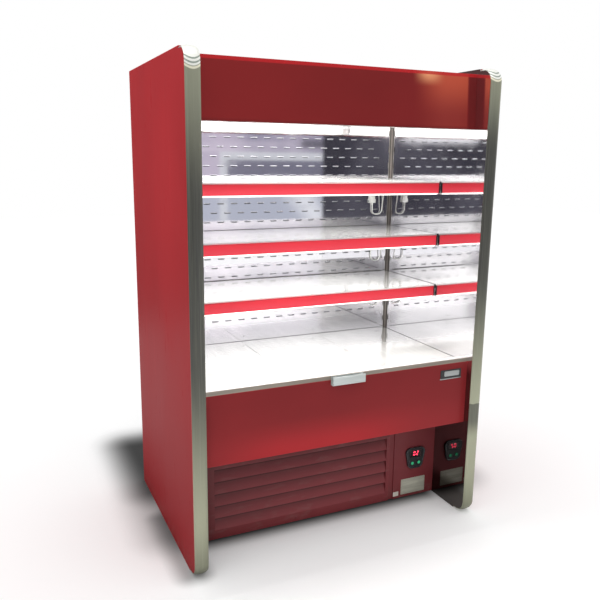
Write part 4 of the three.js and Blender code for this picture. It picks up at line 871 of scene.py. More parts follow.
class FRIDGE_OT_walls(bpy.types.Operator):
    """Finishes the polished inner walls and adds the pressed lips of the rear panel's slots"""

    bl_idname = "fridge.walls"
    bl_label = "Inner walls"

    slot_width = 27 * MM
    slot_height = 5 * MM
    slot_pitch = 60 * MM
    row_pitch = 39 * MM
    top_edge = 60 * MM
    above_shelf = 3 * MM
    below_shelf = 100 * MM
    plug_x, plug_reach = 0.462, 30 * MM

    def execute(self, context):
        tones = colours()
        for side in SIDES:
            wear(f"inner_lining_{side}", mirror(f"lining_steel_{side}", tones.mirror_steel, 0.04, foot=0.66))
            wear(f"shelf_upright_{side}", self.upright_finish(side))
        wear("back_duct_panel", mirror("duct_steel", tones.mirror_steel, 0.045))
        wear("ceiling_panel", shelf_steel("ceiling_steel", tones.shelf_steel, 0.1))
        self.add_lips(tones)
        self.add_wall_screws()
        return {"FINISHED"}

    def upright_finish(self, side):
        """Polished flange like the wall's sheet, and a darker, less polished strip at its outer edge, whose hook slots
        are painted dark as shade, with a painted highlight along its inner edge.
        """
        finish = Finish(f"upright_steel_{side}")
        outer = max(abs(corner.x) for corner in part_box(f"shelf_upright_{side}"))
        hair = finish.noise(34, 5, (1, 1, 0.05), 0.65)
        inward = outer - abs(finish.axis("x"))
        darker_zone = 1 - inward.rise(12.5 * MM, 13.5 * MM)
        slots = 1 - abs(inward - 7 * MM).rise(2.0 * MM, 3.0 * MM)
        rim = 1 - abs(inward - 13.5 * MM).rise(0.8 * MM, 1.6 * MM)
        steel = finish.mix(hair.rise(0.3, 0.7), linear("7A726C"), linear("9A938C"))
        tone = finish.mix(darker_zone, colours().mirror_steel, steel)
        # Painted shade: the dark line of the hook slots.
        tone = finish.mix(slots * 0.85, tone, linear("2E2A29"))
        # Painted highlight along the strip's inner edge.
        tone = finish.mix(rim * 0.8, tone, linear("F4F4F4"))
        return finish.surface(
            base_color=tone,
            metallic=1.0 - darker_zone * 0.5,
            roughness=0.06 + darker_zone * 0.2 + hair * 0.05,
            normal=finish.bump(slots, 0.001, 0.8, finish.bump(hair, 0.00005, 0.3)),
        )

    def slot_places(self):
        """Centres (x, z) of the slots."""
        low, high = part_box("back_duct_panel")
        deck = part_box("base_deck")[1].z
        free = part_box("shelf_upright_right")[0].x - self.slot_width / 2
        reach = int(free / self.slot_pitch) * self.slot_pitch
        tops = [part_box(f"shelf_{level}")[1].z for level in SHELVES]
        rows = int((high.z - deck - 2 * self.top_edge) / self.row_pitch) + 1
        places = []
        for row in range(rows):
            z = high.z - self.top_edge - row * self.row_pitch
            if any(top - self.below_shelf < z < top + self.above_shelf for top in tops):
                continue
            plugged = any(top - 130 * MM < z < top - 60 * MM for top in tops)
            x = -reach + (self.slot_pitch / 2 if row % 2 else 0.0)
            while x <= reach + 1e-6:
                if not (plugged and abs(x - self.plug_x) < self.plug_reach):
                    places.append((x, z))
                x += self.slot_pitch
        return places

    def add_lips(self, tones):
        """Each lip starts over its slot and leans out and down in front of it."""
        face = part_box("back_duct_panel")[0].y
        reach, drop = sizes().lip_reach, sizes().lip_drop
        profile = [(0.0, 0.0), (0.38 * reach, -0.08 * drop), (0.80 * reach, -0.45 * drop), (reach, -drop)]
        half = self.slot_width / 2
        columns = [(-half - 1.6 * MM, 0.0), (-half + 1.2 * MM, 1.0), (0.0, 1.04), (half - 1.2 * MM, 1.0),
                   (half + 1.6 * MM, 0.0)]
        lips = Shape()
        for x, z in self.slot_places():
            top = z + self.slot_height / 2 + 0.8 * MM
            rings = [
                [
                    lips.mesh.verts.new((x + across, face - 0.05 * MM - out * share, top + down))
                    for across, share in columns
                ]
                for out, down in profile
            ]
            lips.bridge(rings, closed=False)
        steel = brushed("lip_steel", linear("A2A2A9"), (0.2, 1, 1), 0.30, 0.85, metallic=0.6)
        lips.piece("duct_slot_lips", "cabinet", steel)

    def add_wall_screws(self):
        low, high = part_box("back_duct_panel")
        radius = 0.8 * sizes().screw_radius
        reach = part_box("shelf_upright_right")[0].x - 9 * MM
        screws = Shape()
        for x in (-reach, -reach / 3, reach / 3, reach):
            for z in (high.z - 16 * MM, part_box("base_deck")[1].z + 22 * MM):
                screws.screw((x, low.y, z), "y", radius)
        steel = brushed("wall_screw_steel", linear("C9CACB"), (1, 1, 1), 0.25)
        screws.piece("duct_panel_screws", "cabinet", steel)


class FRIDGE_OT_canopy(bpy.types.Operator):
    """Finishes the canopy, the roof, the air outlet and the canopy lamp, and lights it"""

    bl_idname = "fridge.canopy"
    bl_label = "Canopy and roof"

    def execute(self, context):
        tones = colours()
        wear("canopy_front", self.canopy_finish(tones.shaded_canopy_paint))
        wear("roof_panel", galvanised("roof_zinc", tones.zinc))
        wear("air_guide", brushed("guide_steel", tones.shelf_steel, (0.05, 1, 1), 0.3))
        wear("air_honeycomb", moulded("honeycomb_white", linear("E9E9E5"), 0.5))
        low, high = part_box("canopy_lamp")
        wear("canopy_lamp", lit("canopy_diffuser", tones.diffuser, 2.2, high.x))
        add_strip_light("canopy_glow", low, high, light_levels().canopy_lamp)
        self.add_top_bay_light()
        self.add_lamp_ends(low, high)
        self.add_roof_seams(tones)
        return {"FINISHED"}

    def canopy_finish(self, colour):
        """Dark paint (the red made darker as painted shade) with painted light: brighter to the left, a painted orange
        reflection and highlight to the right, painted shade at the right end and along the foot, and a painted
        highlight on the rolled edge along the top.
        """
        finish = Finish("shaded_canopy_paint")
        low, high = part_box("canopy_front")
        clouds = finish.noise(2.4, 3, (0.6, 1, 1)).rise(0.3, 0.75)
        tone = finish.mix(clouds, toned(colour, 0.88), toned(colour, 1.06))
        x, z = finish.axis("x"), finish.axis("z")
        # Painted light: brighter towards the left.
        tone = finish.mix((1 - x.rise(-0.55, 0.1)) * 0.5, tone, toned(colour, 1.25))
        # Painted reflection: an orange glow towards the right.
        warm_reflection = x.rise(0.26, 0.42) * (1 - x.rise(0.505, 0.515))
        tone = finish.mix(warm_reflection * 0.6, tone, linear("94342C"))
        tone = finish.mix(warm_reflection * z.rise(1.60, 1.76) * 0.75, tone, linear("C8573C"))
        # Painted highlight: a pale orange patch near the top.
        warm_highlight = (1 - abs(x - 0.335).rise(0.0, 0.075)) * z.rise(1.71, 1.765)
        tone = finish.mix(warm_highlight * 0.9, tone, linear("F5A777"))
        # Painted shade at the right end.
        tone = finish.mix(x.rise(0.508, 0.520) * 0.5, tone, toned(colour, 0.45))
        # Painted highlight on the rolled edge along the top.
        rolled = z.rise(high.z - 14 * MM, high.z - 10 * MM)
        tone = finish.mix(rolled * 0.85, tone, linear("BE1E24"))
        # Painted shade along the foot.
        foot = 1 - z.rise(low.z + 2.0 * MM, low.z + 12.0 * MM)
        tone = finish.mix(foot * 0.6, tone, toned(colour, 0.7))
        wiped = finish.noise(16, 5, (0.3, 1, 1)).rise(0.5, 0.8)
        peel = finish.noise(520, 2)
        return finish.surface(
            base_color=tone,
            roughness=0.36 + clouds * 0.08 + wiped * 0.1,
            normal=finish.bump(peel, 0.00006, 0.5),
            **SATIN_GLOSS,
        )

    def add_top_bay_light(self):
        """Soft light between the ceiling and the top shelf, down and up."""
        power = light_levels().bay_fill
        ceiling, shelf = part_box("ceiling_panel")[0].z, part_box("shelf_top")
        add_bay_light("top_bay_fill", shelf, ceiling - 4 * MM, 1.6 * power)
        add_bay_light("ceiling_fill", shelf, shelf[1].z + 12 * MM, power, upward=True)

    def add_lamp_ends(self, low, high):
        """Moulded end caps with a lamp pin cover."""
        caps = Shape()
        for side, x in ((-1, low.x), (1, high.x)):
            near, far = sorted((x, x + side * 5 * MM))
            caps.block((near, low.y + 1 * MM, low.z + 1 * MM), (far, high.y - 1 * MM, high.z), 1.2 * MM)
        caps.piece("canopy_lamp_caps", "cabinet", moulded("lamp_cap_white", linear("E6E6E2")))

    def add_roof_seams(self, tones):
        """Folded seams and screws on the roof sheet."""
        low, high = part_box("roof_panel")
        seams = Shape()
        for share in (1 / 3, 2 / 3):
            x = low.x + share * (high.x - low.x)
            seams.block((x - 9 * MM, low.y + 40 * MM, high.z), (x + 9 * MM, high.y - 6 * MM, high.z + 2.2 * MM), 0.9 * MM)
        for x in (low.x + 20 * MM, 0.0, high.x - 20 * MM):
            for y in (low.y + 60 * MM, (low.y + high.y) / 2, high.y - 25 * MM):
                seams.screw((x, y, high.z), "z", sizes().screw_radius, outward=1)
        seams.piece("roof_seams", "cabinet", galvanised("seam_zinc", tones.zinc))


def add_flat_light(name, centre, width, depth, power, upward=False):
    """A flat soft lamp that shines down or up and isn't seen itself."""
    data = bpy.data.lights.new(name, "AREA")
    data.shape = "RECTANGLE"
    data.size = width
    data.size_y = depth
    data.energy = power
    lamp = bpy.data.objects.new(name, data)
    lamp.location = centre
    lamp.rotation_euler = (math.pi if upward else 0.0, 0.0, 0.0)
    lamp.visible_camera = False
    lamp.visible_glossy = False
    bpy.context.scene.collection.objects.link(lamp)


def add_strip_light(name, low, high, power):
    """A long soft lamp just under a diffuser."""
    centre = ((low.x + high.x) / 2, (low.y + high.y) / 2, low.z - 1.5 * MM)
    add_flat_light(name, centre, 0.96 * (high.x - low.x), 0.8 * (high.y - low.y), power)


def add_bay_light(name, shelf, height, power, upward=False):
    """Soft light over a shelf's depth, as from the pale sheets round it; it leans to the viewer's left."""
    low, high = shelf
    centre = (-0.07, (low.y + high.y) / 2, height)
    add_flat_light(name, centre, 0.82 * (high.x - low.x), 0.9 * (high.y - low.y), power, upward)


class FRIDGE_OT_base(bpy.types.Operator):
    """Finishes the well, the deck, the front panel and its steel lip, and adds the bare badge"""

    bl_idname = "fridge.base"
    bl_label = "Base and front"

    badge_left, badge_right, badge_bottom, badge_top = 0.421, 0.520, 0.600, 0.634
    deck_seam = 0.183

    def execute(self, context):
        tones = colours()
        wear("fascia_panel", self.front_finish(tones.shaded_front_paint))
        wear("front_lip", self.lip_finish())
        wear("return_air_grille", brushed("return_steel", linear("F4F4F2"), (0.05, 1, 1), 0.3, 0.9, 0.2))
        wear("base_deck", self.deck_finish(tones.shelf_steel))
        wear("base_well", moulded("well_grey", linear("A6A8A8"), 0.55))
        wear("blind_catch", brushed("catch_steel", linear("CFD6D4"), (0.06, 1, 1), 0.3, metallic=0.45))
        smooth_part("blind_catch")
        self.add_badge()
        self.add_catch_rivets()
        return {"FINISHED"}

    def lip_finish(self):
        """Brushed steel whose front face is painted darker as shade, under a flat top as pale as the deck."""
        finish = Finish("lip_brushed")
        low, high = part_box("front_lip")
        hair = finish.noise(34, 5, (0.04, 1, 1), 0.65)
        # Painted shade: the front face darker than the top.
        face = finish.mix(hair.rise(0.3, 0.7), linear("7A7167"), linear("9C9488"))
        top = finish.axis("y").rise(low.y + 3 * MM, low.y + 5 * MM)
        return finish.surface(
            base_color=finish.mix(top, face, linear("F6F5F2")),
            metallic=0.3,
            roughness=0.30 + hair * 0.12,
            normal=finish.bump(hair, 0.00005, 0.55),
        )

    def deck_finish(self, colour):
        """Satin steel, with thin seams that part it into three from front to back."""
        finish = Finish("deck_steel")
        hair = finish.noise(60, 5, (1.0, 0.06, 1.0), 0.7)
        spill = finish.noise(4, 4).rise(0.55, 0.8)
        seam = 1 - abs(abs(finish.axis("x")) - self.deck_seam).rise(0.8 * MM, 1.6 * MM)
        tone = finish.mix(hair.rise(0.3, 0.7), toned(colour, 0.94), toned(colour, 1.05))
        tone = finish.mix(spill * 0.14, tone, toned(colour, 0.8))
        tone = finish.mix(seam * 0.8, tone, linear("5A5854"))
        tone = dark_ends(finish, tone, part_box("base_deck"))
        return finish.surface(
            base_color=tone,
            metallic=finish.axis("y").rise(-0.15, 0.10) * 0.28 + 0.46,
            roughness=0.09 + hair * 0.04 + spill * 0.05 + seam * 0.2,
            normal=finish.bump(1 - seam, 0.0008, 0.6, finish.bump(hair, 0.00002, 0.4)),
        )

    def front_finish(self, colour):
        """Red paint made darker as painted shade, with painted light: brighter towards its foot, a painted bright
        patch low down at the left, a painted reflection at the viewer's right edge, and painted shade along the top.
        """
        finish = Finish("shaded_front_paint")
        low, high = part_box("fascia_panel")
        z, x = finish.axis("z"), finish.axis("x")
        clouds = finish.noise(1.9, 3, (0.8, 1, 1.4)).rise(0.3, 0.75)
        tone = finish.mix(clouds, toned(colour, 0.82), toned(colour, 1.0))
        # Painted light: brighter towards the foot.
        tone = finish.mix((1 - z.rise(low.z, high.z - 0.09)) * 0.6, tone, toned(colour, 1.2))
        # Painted light: a bright patch low down at the left.
        glow = (1 - z.rise(low.z, low.z + 0.14)) * x.rise(-0.55, -0.25) * (1 - x.rise(0.0, 0.40))
        tone = finish.mix(glow * 0.65, tone, linear("B82C31"))
        # Painted reflection at the viewer's right edge.
        tone = finish.mix(x.rise(high.x - 0.03, high.x) * 0.4, tone, toned(colour, 1.2))
        # Painted shade along the top.
        shade = z.rise(high.z - 0.12, high.z) * 0.35
        tone = finish.mix(shade, tone, toned(colour, 0.62))
        worn = finish.edges(low, high, 0.0016)
        tone = finish.mix(worn * 0.5, tone, toned(colour, 1.7))
        wiped = finish.noise(14, 5, (0.35, 1, 1)).rise(0.5, 0.8)
        return finish.surface(
            base_color=tone,
            roughness=0.34 + clouds * 0.08 + wiped * 0.12,
            normal=finish.bump(finish.noise(520, 2), 0.00006, 0.5),
            **SATIN_GLOSS,
        )

    def add_badge(self):
        """Bare badge: a dark plate, a raised silver frame round a plain field, a bright bar below."""
        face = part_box("fascia_panel")[0].y
        thick = sizes().plate_thickness
        x0, x1, z0, z1 = self.badge_left, self.badge_right, self.badge_bottom, self.badge_top
        plate = Shape()
        plate.prism(
            rounded_outline(((x0 + x1) / 2, (z0 + z1) / 2), x1 - x0, z1 - z0, 3 * MM), "y",
            face - thick, face - 0.05 * MM,
        )
        plate.piece("badge_plate", "cabinet", moulded("badge_black", linear("17191B"), 0.4, coat=0.1))
        centre = ((x0 + x1) / 2 + 4 * MM, (z0 + z1) / 2 + 1 * MM)
        silver = brushed("badge_silver", linear("A9ADAC"), (0.1, 1, 1), 0.3)
        frame_piece = Shape()
        outer = rounded_outline(centre, 72 * MM, 21 * MM, 5 * MM)
        inner = rounded_outline(centre, 66 * MM, 15 * MM, 3.5 * MM)
        levels = ((outer, face - thick), (outer, face - thick - 1.0 * MM), (inner, face - thick - 1.0 * MM),
                  (inner, face - thick - 0.3 * MM))
        frame_piece.bridge([[frame_piece.mesh.verts.new((u, y, v)) for u, v in outline] for outline, y in levels])
        frame_piece.mesh.verts.ensure_lookup_table()
        frame_piece.mesh.faces.new(frame_piece.mesh.verts[-len(inner):])
        frame_piece.block(
            (x0 - 2 * MM, face - thick - 0.6 * MM, z0 - 5 * MM), (x1 + 1 * MM, face - 0.05 * MM, z0 - 0.6 * MM), 0.5 * MM
        )
        frame_piece.piece("badge_silver_frame", "cabinet", silver)

    def add_catch_rivets(self):
        low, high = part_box("blind_catch")
        rivets = Shape()
        for x in (low.x + 14 * MM, high.x - 14 * MM):
            rivets.screw((x, low.y + 9 * MM, high.z), "z", 2.6 * MM, outward=1)
        rivets.piece("catch_rivets", "cabinet", brushed("rivet_steel", linear("D0D2D2"), (1, 1, 1)))


def dark_ends(finish, tone, box):
    """Darker along the two cut ends of a sheet, where it meets the walls."""
    low, high = box
    inward = (high.x - low.x) / 2 - abs(finish.axis("x") - (low.x + high.x) / 2)
    return finish.mix((1 - inward.rise(2.0 * MM, 4.0 * MM)) * 0.9, tone, linear("3A3634"))


def shelf_steel(name, colour, metallic=0.58, box=None):
    """Satin steel of the surfaces that goods stand on: soft mirror, fine scratches front to back."""
    finish = Finish(name)
    hair = finish.noise(60, 5, (1.0, 0.06, 1.0), 0.7)
    drag = finish.noise(60, 6, (3.0, 0.10, 1.0), 0.75).rise(0.6, 0.75)
    spill = finish.noise(4, 4).rise(0.55, 0.8)
    tone = finish.mix(hair.rise(0.3, 0.7), toned(colour, 0.94), toned(colour, 1.05))
    tone = finish.mix(spill * 0.14, tone, toned(colour, 0.8))
    if box:
        tone = dark_ends(finish, tone, box)
    return finish.surface(
        base_color=tone,
        metallic=metallic,
        roughness=0.09 + hair * 0.04 + drag * 0.03 + spill * 0.05,
        normal=finish.bump(hair, 0.00002, 0.4, finish.bump(finish.noise(1.6, 2), 0.0008, 0.3)),
    )


class FRIDGE_OT_shelves(bpy.types.Operator):
    """Finishes the three shelves with their ticket strips and lights, and makes the light leads"""

    bl_idname = "fridge.shelves"
    bl_label = "Shelves"

    lead_radius = 2.3 * MM
    lead_bend = 24 * MM
    mirror_share = {"bottom": 0.62, "middle": 0.62, "top": 0.12}

    def execute(self, context):
        tones = colours()
        white = moulded("lead_white", linear("ECECE8"), 0.4)
        for level in SHELVES:
            body = f"shelf_{level}_set"
            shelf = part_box(f"shelf_{level}")
            steel = shelf_steel(f"shelf_steel_{level}", tones.shelf_steel, self.mirror_share[level], shelf)
            wear(f"shelf_{level}", steel)
            wear(f"ticket_strip_{level}", self.strip_finish(level, tones.strip))
            low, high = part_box(f"shelf_light_{level}")
            wear(f"shelf_light_{level}", lit(f"shelf_diffuser_{level}", tones.diffuser, 1.6, high.x))
            add_strip_light(f"shelf_glow_{level}", low, high, light_levels().shelf_lamp)
            add_bay_light(f"bay_fill_{level}", shelf, shelf[1].z - 56 * MM, light_levels().bay_fill)
            self.add_lead(level, body, white)
            self.add_light_ends(level, body, low, high, white)
            self.add_strip_ends(level, body)
        return {"FINISHED"}

    def strip_finish(self, level, colour):
        """Plain red insert behind a clear ribbed cover, with painted shade along its top and painted light on its
        lower part.
        """
        finish = Finish(f"strip_red_{level}")
        low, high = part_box(f"ticket_strip_{level}")
        clouds = finish.noise(5, 3, (0.5, 1, 1)).rise(0.3, 0.7)
        tone = finish.mix(clouds, toned(colour, 0.92), toned(colour, 1.05))
        z = finish.axis("z")
        # Painted shade along the top.
        rim = z.rise(high.z - 5.0 * MM, high.z - 1.0 * MM)
        tone = finish.mix(rim * 0.75, tone, toned(colour, 0.40))
        # Painted light: paler on the lower part.
        lower = 1 - z.rise(low.z, high.z - 8 * MM)
        tone = finish.mix(lower * 0.35, tone, linear("FF6A7C"))
        return finish.surface(
            base_color=tone,
            roughness=0.34 + clouds * 0.08,
            coat_weight=0.15,
            coat_roughness=0.1,
            specular_ior_level=0.25,
            normal=finish.bump(finish.noise(200, 2, (0.1, 1, 1)), 0.00008, 0.4),
        )

    def lead_corners(self, top):
        """Corners of the lead from the shelf's light up to its socket on the rear wall."""
        corners_mm = (
            (519.7, -111.2, -41), (519.7, -71.2, -41), (519.7, -31.2, -28), (519.7, 198, -28),
            (511.7, 238, -28), (511.7, 259, -165), (462, 259, -165), (462, 259, -114),
        )
        return [Vector((x * MM, y * MM, top + z * MM)) for x, y, z in corners_mm]

    def add_lead(self, level, body, material):
        """White lead with its plug; it stands for the plain solid of the same route."""
        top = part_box(f"shelf_{level}")[1].z
        x, y = 0.462, 0.259
        lead = Shape()
        path = rounded_path(self.lead_corners(top), self.lead_bend)
        lead.tube(path, self.lead_radius)
        lead.turned(
            [(2.4 * MM, 0), (3.4 * MM, 2 * MM), (3.2 * MM, 6 * MM), (4.4 * MM, 8 * MM), (4.4 * MM, 10 * MM)],
            (x, y, top - 122 * MM), "z", 14,
        )
        lead.block((x - 15 * MM, 0.2532, top - 112 * MM), (x + 15 * MM, 0.2648, top - 94 * MM), 1.6 * MM)
        lead.block((x - 12 * MM, 0.2538, top - 95 * MM), (x + 12 * MM, 0.2645, top - 80 * MM), 1.2 * MM)
        lead.block((x - 4 * MM, 0.2526, top - 104 * MM), (x + 4 * MM, 0.2536, top - 84 * MM), 0.4 * MM)
        made = lead.piece(f"light_lead_white_{level}", body, material)
        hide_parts(f"light_lead_{level}")

    def add_strip_ends(self, level, body):
        """Dark clips that close both ends of the ticket strip."""
        low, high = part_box(f"ticket_strip_{level}")
        clips = Shape()
        for side, x in ((-1, low.x), (1, high.x)):
            near, far = sorted((x - side * 4 * MM, x + side * 1.2 * MM))
            clips.block((near, low.y - 0.8 * MM, low.z - 0.5 * MM), (far, high.y, high.z + 0.5 * MM), 0.6 * MM)
        clips.piece(f"strip_end_clips_{level}", body, moulded(f"clip_black_{level}", linear("1E1C1D"), 0.5))

    def add_light_ends(self, level, body, low, high, material):
        """Moulded end caps of the shelf light."""
        caps = Shape()
        for side, x in ((-1, low.x), (1, high.x)):
            near, far = sorted((x, x + side * 4 * MM))
            caps.block((near, low.y + 0.6 * MM, low.z + 0.6 * MM), (far, high.y - 0.6 * MM, high.z - 0.4 * MM), 1 * MM)
        caps.piece(f"shelf_light_caps_{level}", body, material)


class FRIDGE_OT_blind(bpy.types.Operator):
    """Makes the wound roll, the free fabric and the bar ends of the night blind"""

    bl_idname = "fridge.blind"
    bl_label = "Night blind"

    def execute(self, context):
        tones = colours()
        fabric = woven("blind_weave", tones.blind, sizes().weave_pitch)
        self.add_roll(fabric)
        self.add_free_length(fabric)
        wear("blind_pull_bar", brushed("bar_aluminium", linear("C6C9CA"), (0.05, 1, 1), 0.28))
        self.add_bar_ends()
        return {"FINISHED"}

    def add_roll(self, fabric):
        """Wound roll on its tube: the layers' edges step in and out at both ends."""
        low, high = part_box("blind_roller")
        centre = ((low.x + high.x) / 2, (low.y + high.y) / 2, (low.z + high.z) / 2)
        radius, pin_half = (high.z - low.z) / 2, (high.x - low.x) / 2
        half, pin, core = pin_half - 5 * MM, 4.8 * MM, 12 * MM
        layers = sizes().roll_layers
        step = (radius - core) / layers
        end = []
        for i in range(layers):
            inner, depth = core + i * step, half - (0.5 + 0.9 * (i % 3)) * MM
            end += [(inner + 0.1 * step, depth), (inner + 0.85 * step, depth)]
        right = [(pin, pin_half), (pin, half), (core, half), (core, half - 2 * MM)] + end
        left = [(r, -along) for r, along in reversed(right)]
        roll = Shape()
        middle = [(radius, x * half * 0.96) for x in (1, 0.5, 0, -0.5, -1)]
        roll.turned(right + middle + left, centre, "x", 48)
        made = roll.piece("blind_wound_roll", "blind_roll", fabric, smooth=25)
        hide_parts("blind_roller")

    def add_free_length(self, fabric):
        """Sheet between the roll and the pull bar, with hemmed sides."""
        low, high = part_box("blind_fabric")
        rows, columns = 30, 24
        half_thick = 0.3 * MM
        slope = (high.y - low.y - 0.8 * MM) / (high.z - low.z)
        sheet = Shape()
        faces = []
        for side in (-1, 1):
            rings = []
            for i in range(rows + 1):
                z = high.z + (low.z - high.z) * i / rows
                ring = []
                for j in range(columns + 1):
                    share = j / columns
                    x = low.x + (high.x - low.x) * share
                    hem = 0.15 * MM if share < 0.02 or share > 0.98 else 0.0
                    y = high.y - 0.4 * MM - slope * (high.z - z) + side * (half_thick + hem)
                    ring.append(sheet.mesh.verts.new((x, y, z)))
                rings.append(ring)
            sheet.bridge(rings, closed=False)
            faces.append(rings)
        front, back = faces
        rim = lambda rings: rings[0] + [r[-1] for r in rings[1:]] + rings[-1][-2::-1] + [
            r[0] for r in rings[-2:0:-1]
        ]
        sheet.bridge([rim(front), rim(back)])
        made = sheet.piece("blind_free_fabric", None, fabric)
        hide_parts("blind_fabric")
        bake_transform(made)

    def add_bar_ends(self):
        low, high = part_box("blind_pull_bar")
        ends = Shape()
        for side, x in ((-1, low.x), (1, high.x)):
            near, far = sorted((x, x + side * 3 * MM))
            ends.block((near, low.y, low.z), (far, high.y, high.z), 1.2 * MM)
        ends.piece("blind_bar_ends", "blind_bar", moulded("bar_end_black", linear("232425"), 0.5))


# ------------------------------------------------------------------ lower front


class FRIDGE_OT_lower_front(bpy.types.Operator):
    """Finishes the louvred panel and the control panel, and adds the bare plates and screws"""

    bl_idname = "fridge.lower_front"
    bl_label = "Lower front"

    plate_left, plate_right, plate_bottom, plate_top = 0.385, 0.507, 0.018, 0.088
    tag_centre = (0.360, 0.026)
    tag_width, tag_height = 27 * MM, 20 * MM
    slats_left, slats_right, slats_bottom, slats_top, slat_pitch = -0.4577, 0.3051, 0.042, 0.292, 50 * MM

    def execute(self, context):
        tones = colours()
        wear("louvre_panel", self.louvre_finish(tones.shaded_lower_paint))
        # The control panel's red is made darker as painted shade.
        wear("control_panel", paint("control_paint", tones.shaded_lower_paint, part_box("control_panel"), 0.001))
        self.add_plate()
        self.add_tag()
        self.add_screws("louvre_screws", "louvre_panel", "louvre")
        return {"FINISHED"}

    def louvre_finish(self, colour):
        """Dark paint with painted light and shade: each slat lighter at its foot and darkest where it goes in under
        the one above, the panel lighter low down and dark along its top and its left margin.
        """
        finish = Finish("louvre_paint")
        low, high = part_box("louvre_panel")
        clouds = finish.noise(2.6, 3).rise(0.3, 0.7)
        tone = finish.mix(clouds, toned(colour, 0.85), toned(colour, 1.05))
        x, z = finish.axis("x"), finish.axis("z")
        # Painted light: lighter low down.
        tone = finish.mix((1 - z.rise(low.z, 0.3)) * 0.3, tone, toned(colour, 1.25))
        slats = (z > self.slats_bottom) * (z < self.slats_top) * (x > self.slats_left) * (x < self.slats_right)
        share = ((z - self.slats_bottom) / self.slat_pitch) % 1.0
        # Painted light and shade on each slat: lighter at its foot, darkest under the slat above.
        tone = finish.mix((1 - share.rise(0.0, 0.5)) * slats * 0.5, tone, toned(colour, 1.4))
        tone = finish.mix(share.rise(0.40, 0.75) * slats * 0.45, tone, toned(colour, 0.5))
        tone = finish.mix(share.rise(0.74, 0.92) * slats * 0.9, tone, toned(colour, 0.10))
        # Painted shade along the top, under the front panel.
        tone = finish.mix(z.rise(self.slats_top, self.slats_top + 0.02) * 0.55, tone, toned(colour, 0.3))
        # Painted shade along the left margin.
        tone = finish.mix((1 - x.rise(-0.52, -0.44)) * 0.7, tone, toned(colour, 0.35))
        dust = finish.noise(45, 5, (0.3, 1, 1)).rise(0.5, 0.8)
        tone = finish.mix(dust * (1 - share * slats) * 0.16, tone, linear("8A7C78"))
        worn = finish.edges(low, high, 0.0014)
        tone = finish.mix(worn * 0.5, tone, toned(colour, 1.8))
        return finish.surface(
            base_color=tone,
            roughness=0.38 + clouds * 0.08 + dust * 0.16,
            normal=finish.bump(finish.noise(520, 2), 0.00006, 0.5),
            **PAINT_GLOSS,
        )

    def add_plate(self):
        """Bare rating plate: pale foil with a pressed border and two rivets."""
        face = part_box("control_panel")[0].y
        x0, x1, z0, z1 = self.plate_left, self.plate_right, self.plate_bottom, self.plate_top
        thick = 0.8 * MM
        plate = Shape()
        plate.prism(
            rounded_outline(((x0 + x1) / 2, (z0 + z1) / 2), x1 - x0, z1 - z0, 2.5 * MM), "y",
            face - thick, face - 0.05 * MM,
        )
        for x in (x0 + 5 * MM, x1 - 5 * MM):
            plate.screw((x, face - thick, (z0 + z1) / 2), "y", 2.0 * MM)
        plate.piece("rating_plate", "cabinet", self.plate_finish(x0, x1, z0, z1))

    def plate_finish(self, x0, x1, z0, z1):
        finish = Finish("plate_foil")
        x, z = finish.axis("x"), finish.axis("z")
        inset_x = (x1 - x0) / 2 - abs(x - (x0 + x1) / 2)
        inset_z = (z1 - z0) / 2 - abs(z - (z0 + z1) / 2)
        border = ((inset_x > 3.5 * MM) * (inset_z > 3.5 * MM)) - ((inset_x > 4.5 * MM) * (inset_z > 4.5 * MM))
        hair = finish.noise(60, 5, (0.08, 1, 1), 0.7)
        tone = finish.mix(hair.rise(0.3, 0.7), linear("AFAE9F"), linear("C9C8B8"))
        stain = finish.noise(30, 4).rise(0.5, 0.8)
        tone = finish.mix(stain * 0.35, tone, linear("8E8A80"))
        tone = finish.mix(border * 0.6, tone, linear("7C7A70"))
        return finish.surface(
            base_color=tone, metallic=0.35, roughness=0.42 + hair * 0.15,
            normal=finish.bump(border, 0.0003, 0.6, finish.bump(hair, 0.00004, 0.5)),
        )

    def add_tag(self):
        """Small bare white tag."""
        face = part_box("control_panel")[0].y
        x, z = self.tag_centre
        tag = Shape()
        tag.prism(
            rounded_outline((x, z), self.tag_width, self.tag_height, 1.5 * MM), "y", face - 0.4 * MM, face - 0.05 * MM
        )
        tag.piece("bare_tag", "cabinet", moulded("tag_white", linear("DDD6CC"), 0.55))

    def add_screws(self, name, node, body):
        """Screws near the corners of a panel."""
        low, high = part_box(node)
        radius = sizes().screw_radius
        screws = Shape()
        for x in (low.x + 16 * MM, (low.x + high.x) / 2, high.x - 8 * MM):
            for z in (low.z + 14 * MM, high.z - 14 * MM):
                screws.screw((x, low.y, z), "y", radius)
        screws.piece(name, body, paint(f"{name}_paint", colours().shaded_lower_paint, (low, high), 0.0))


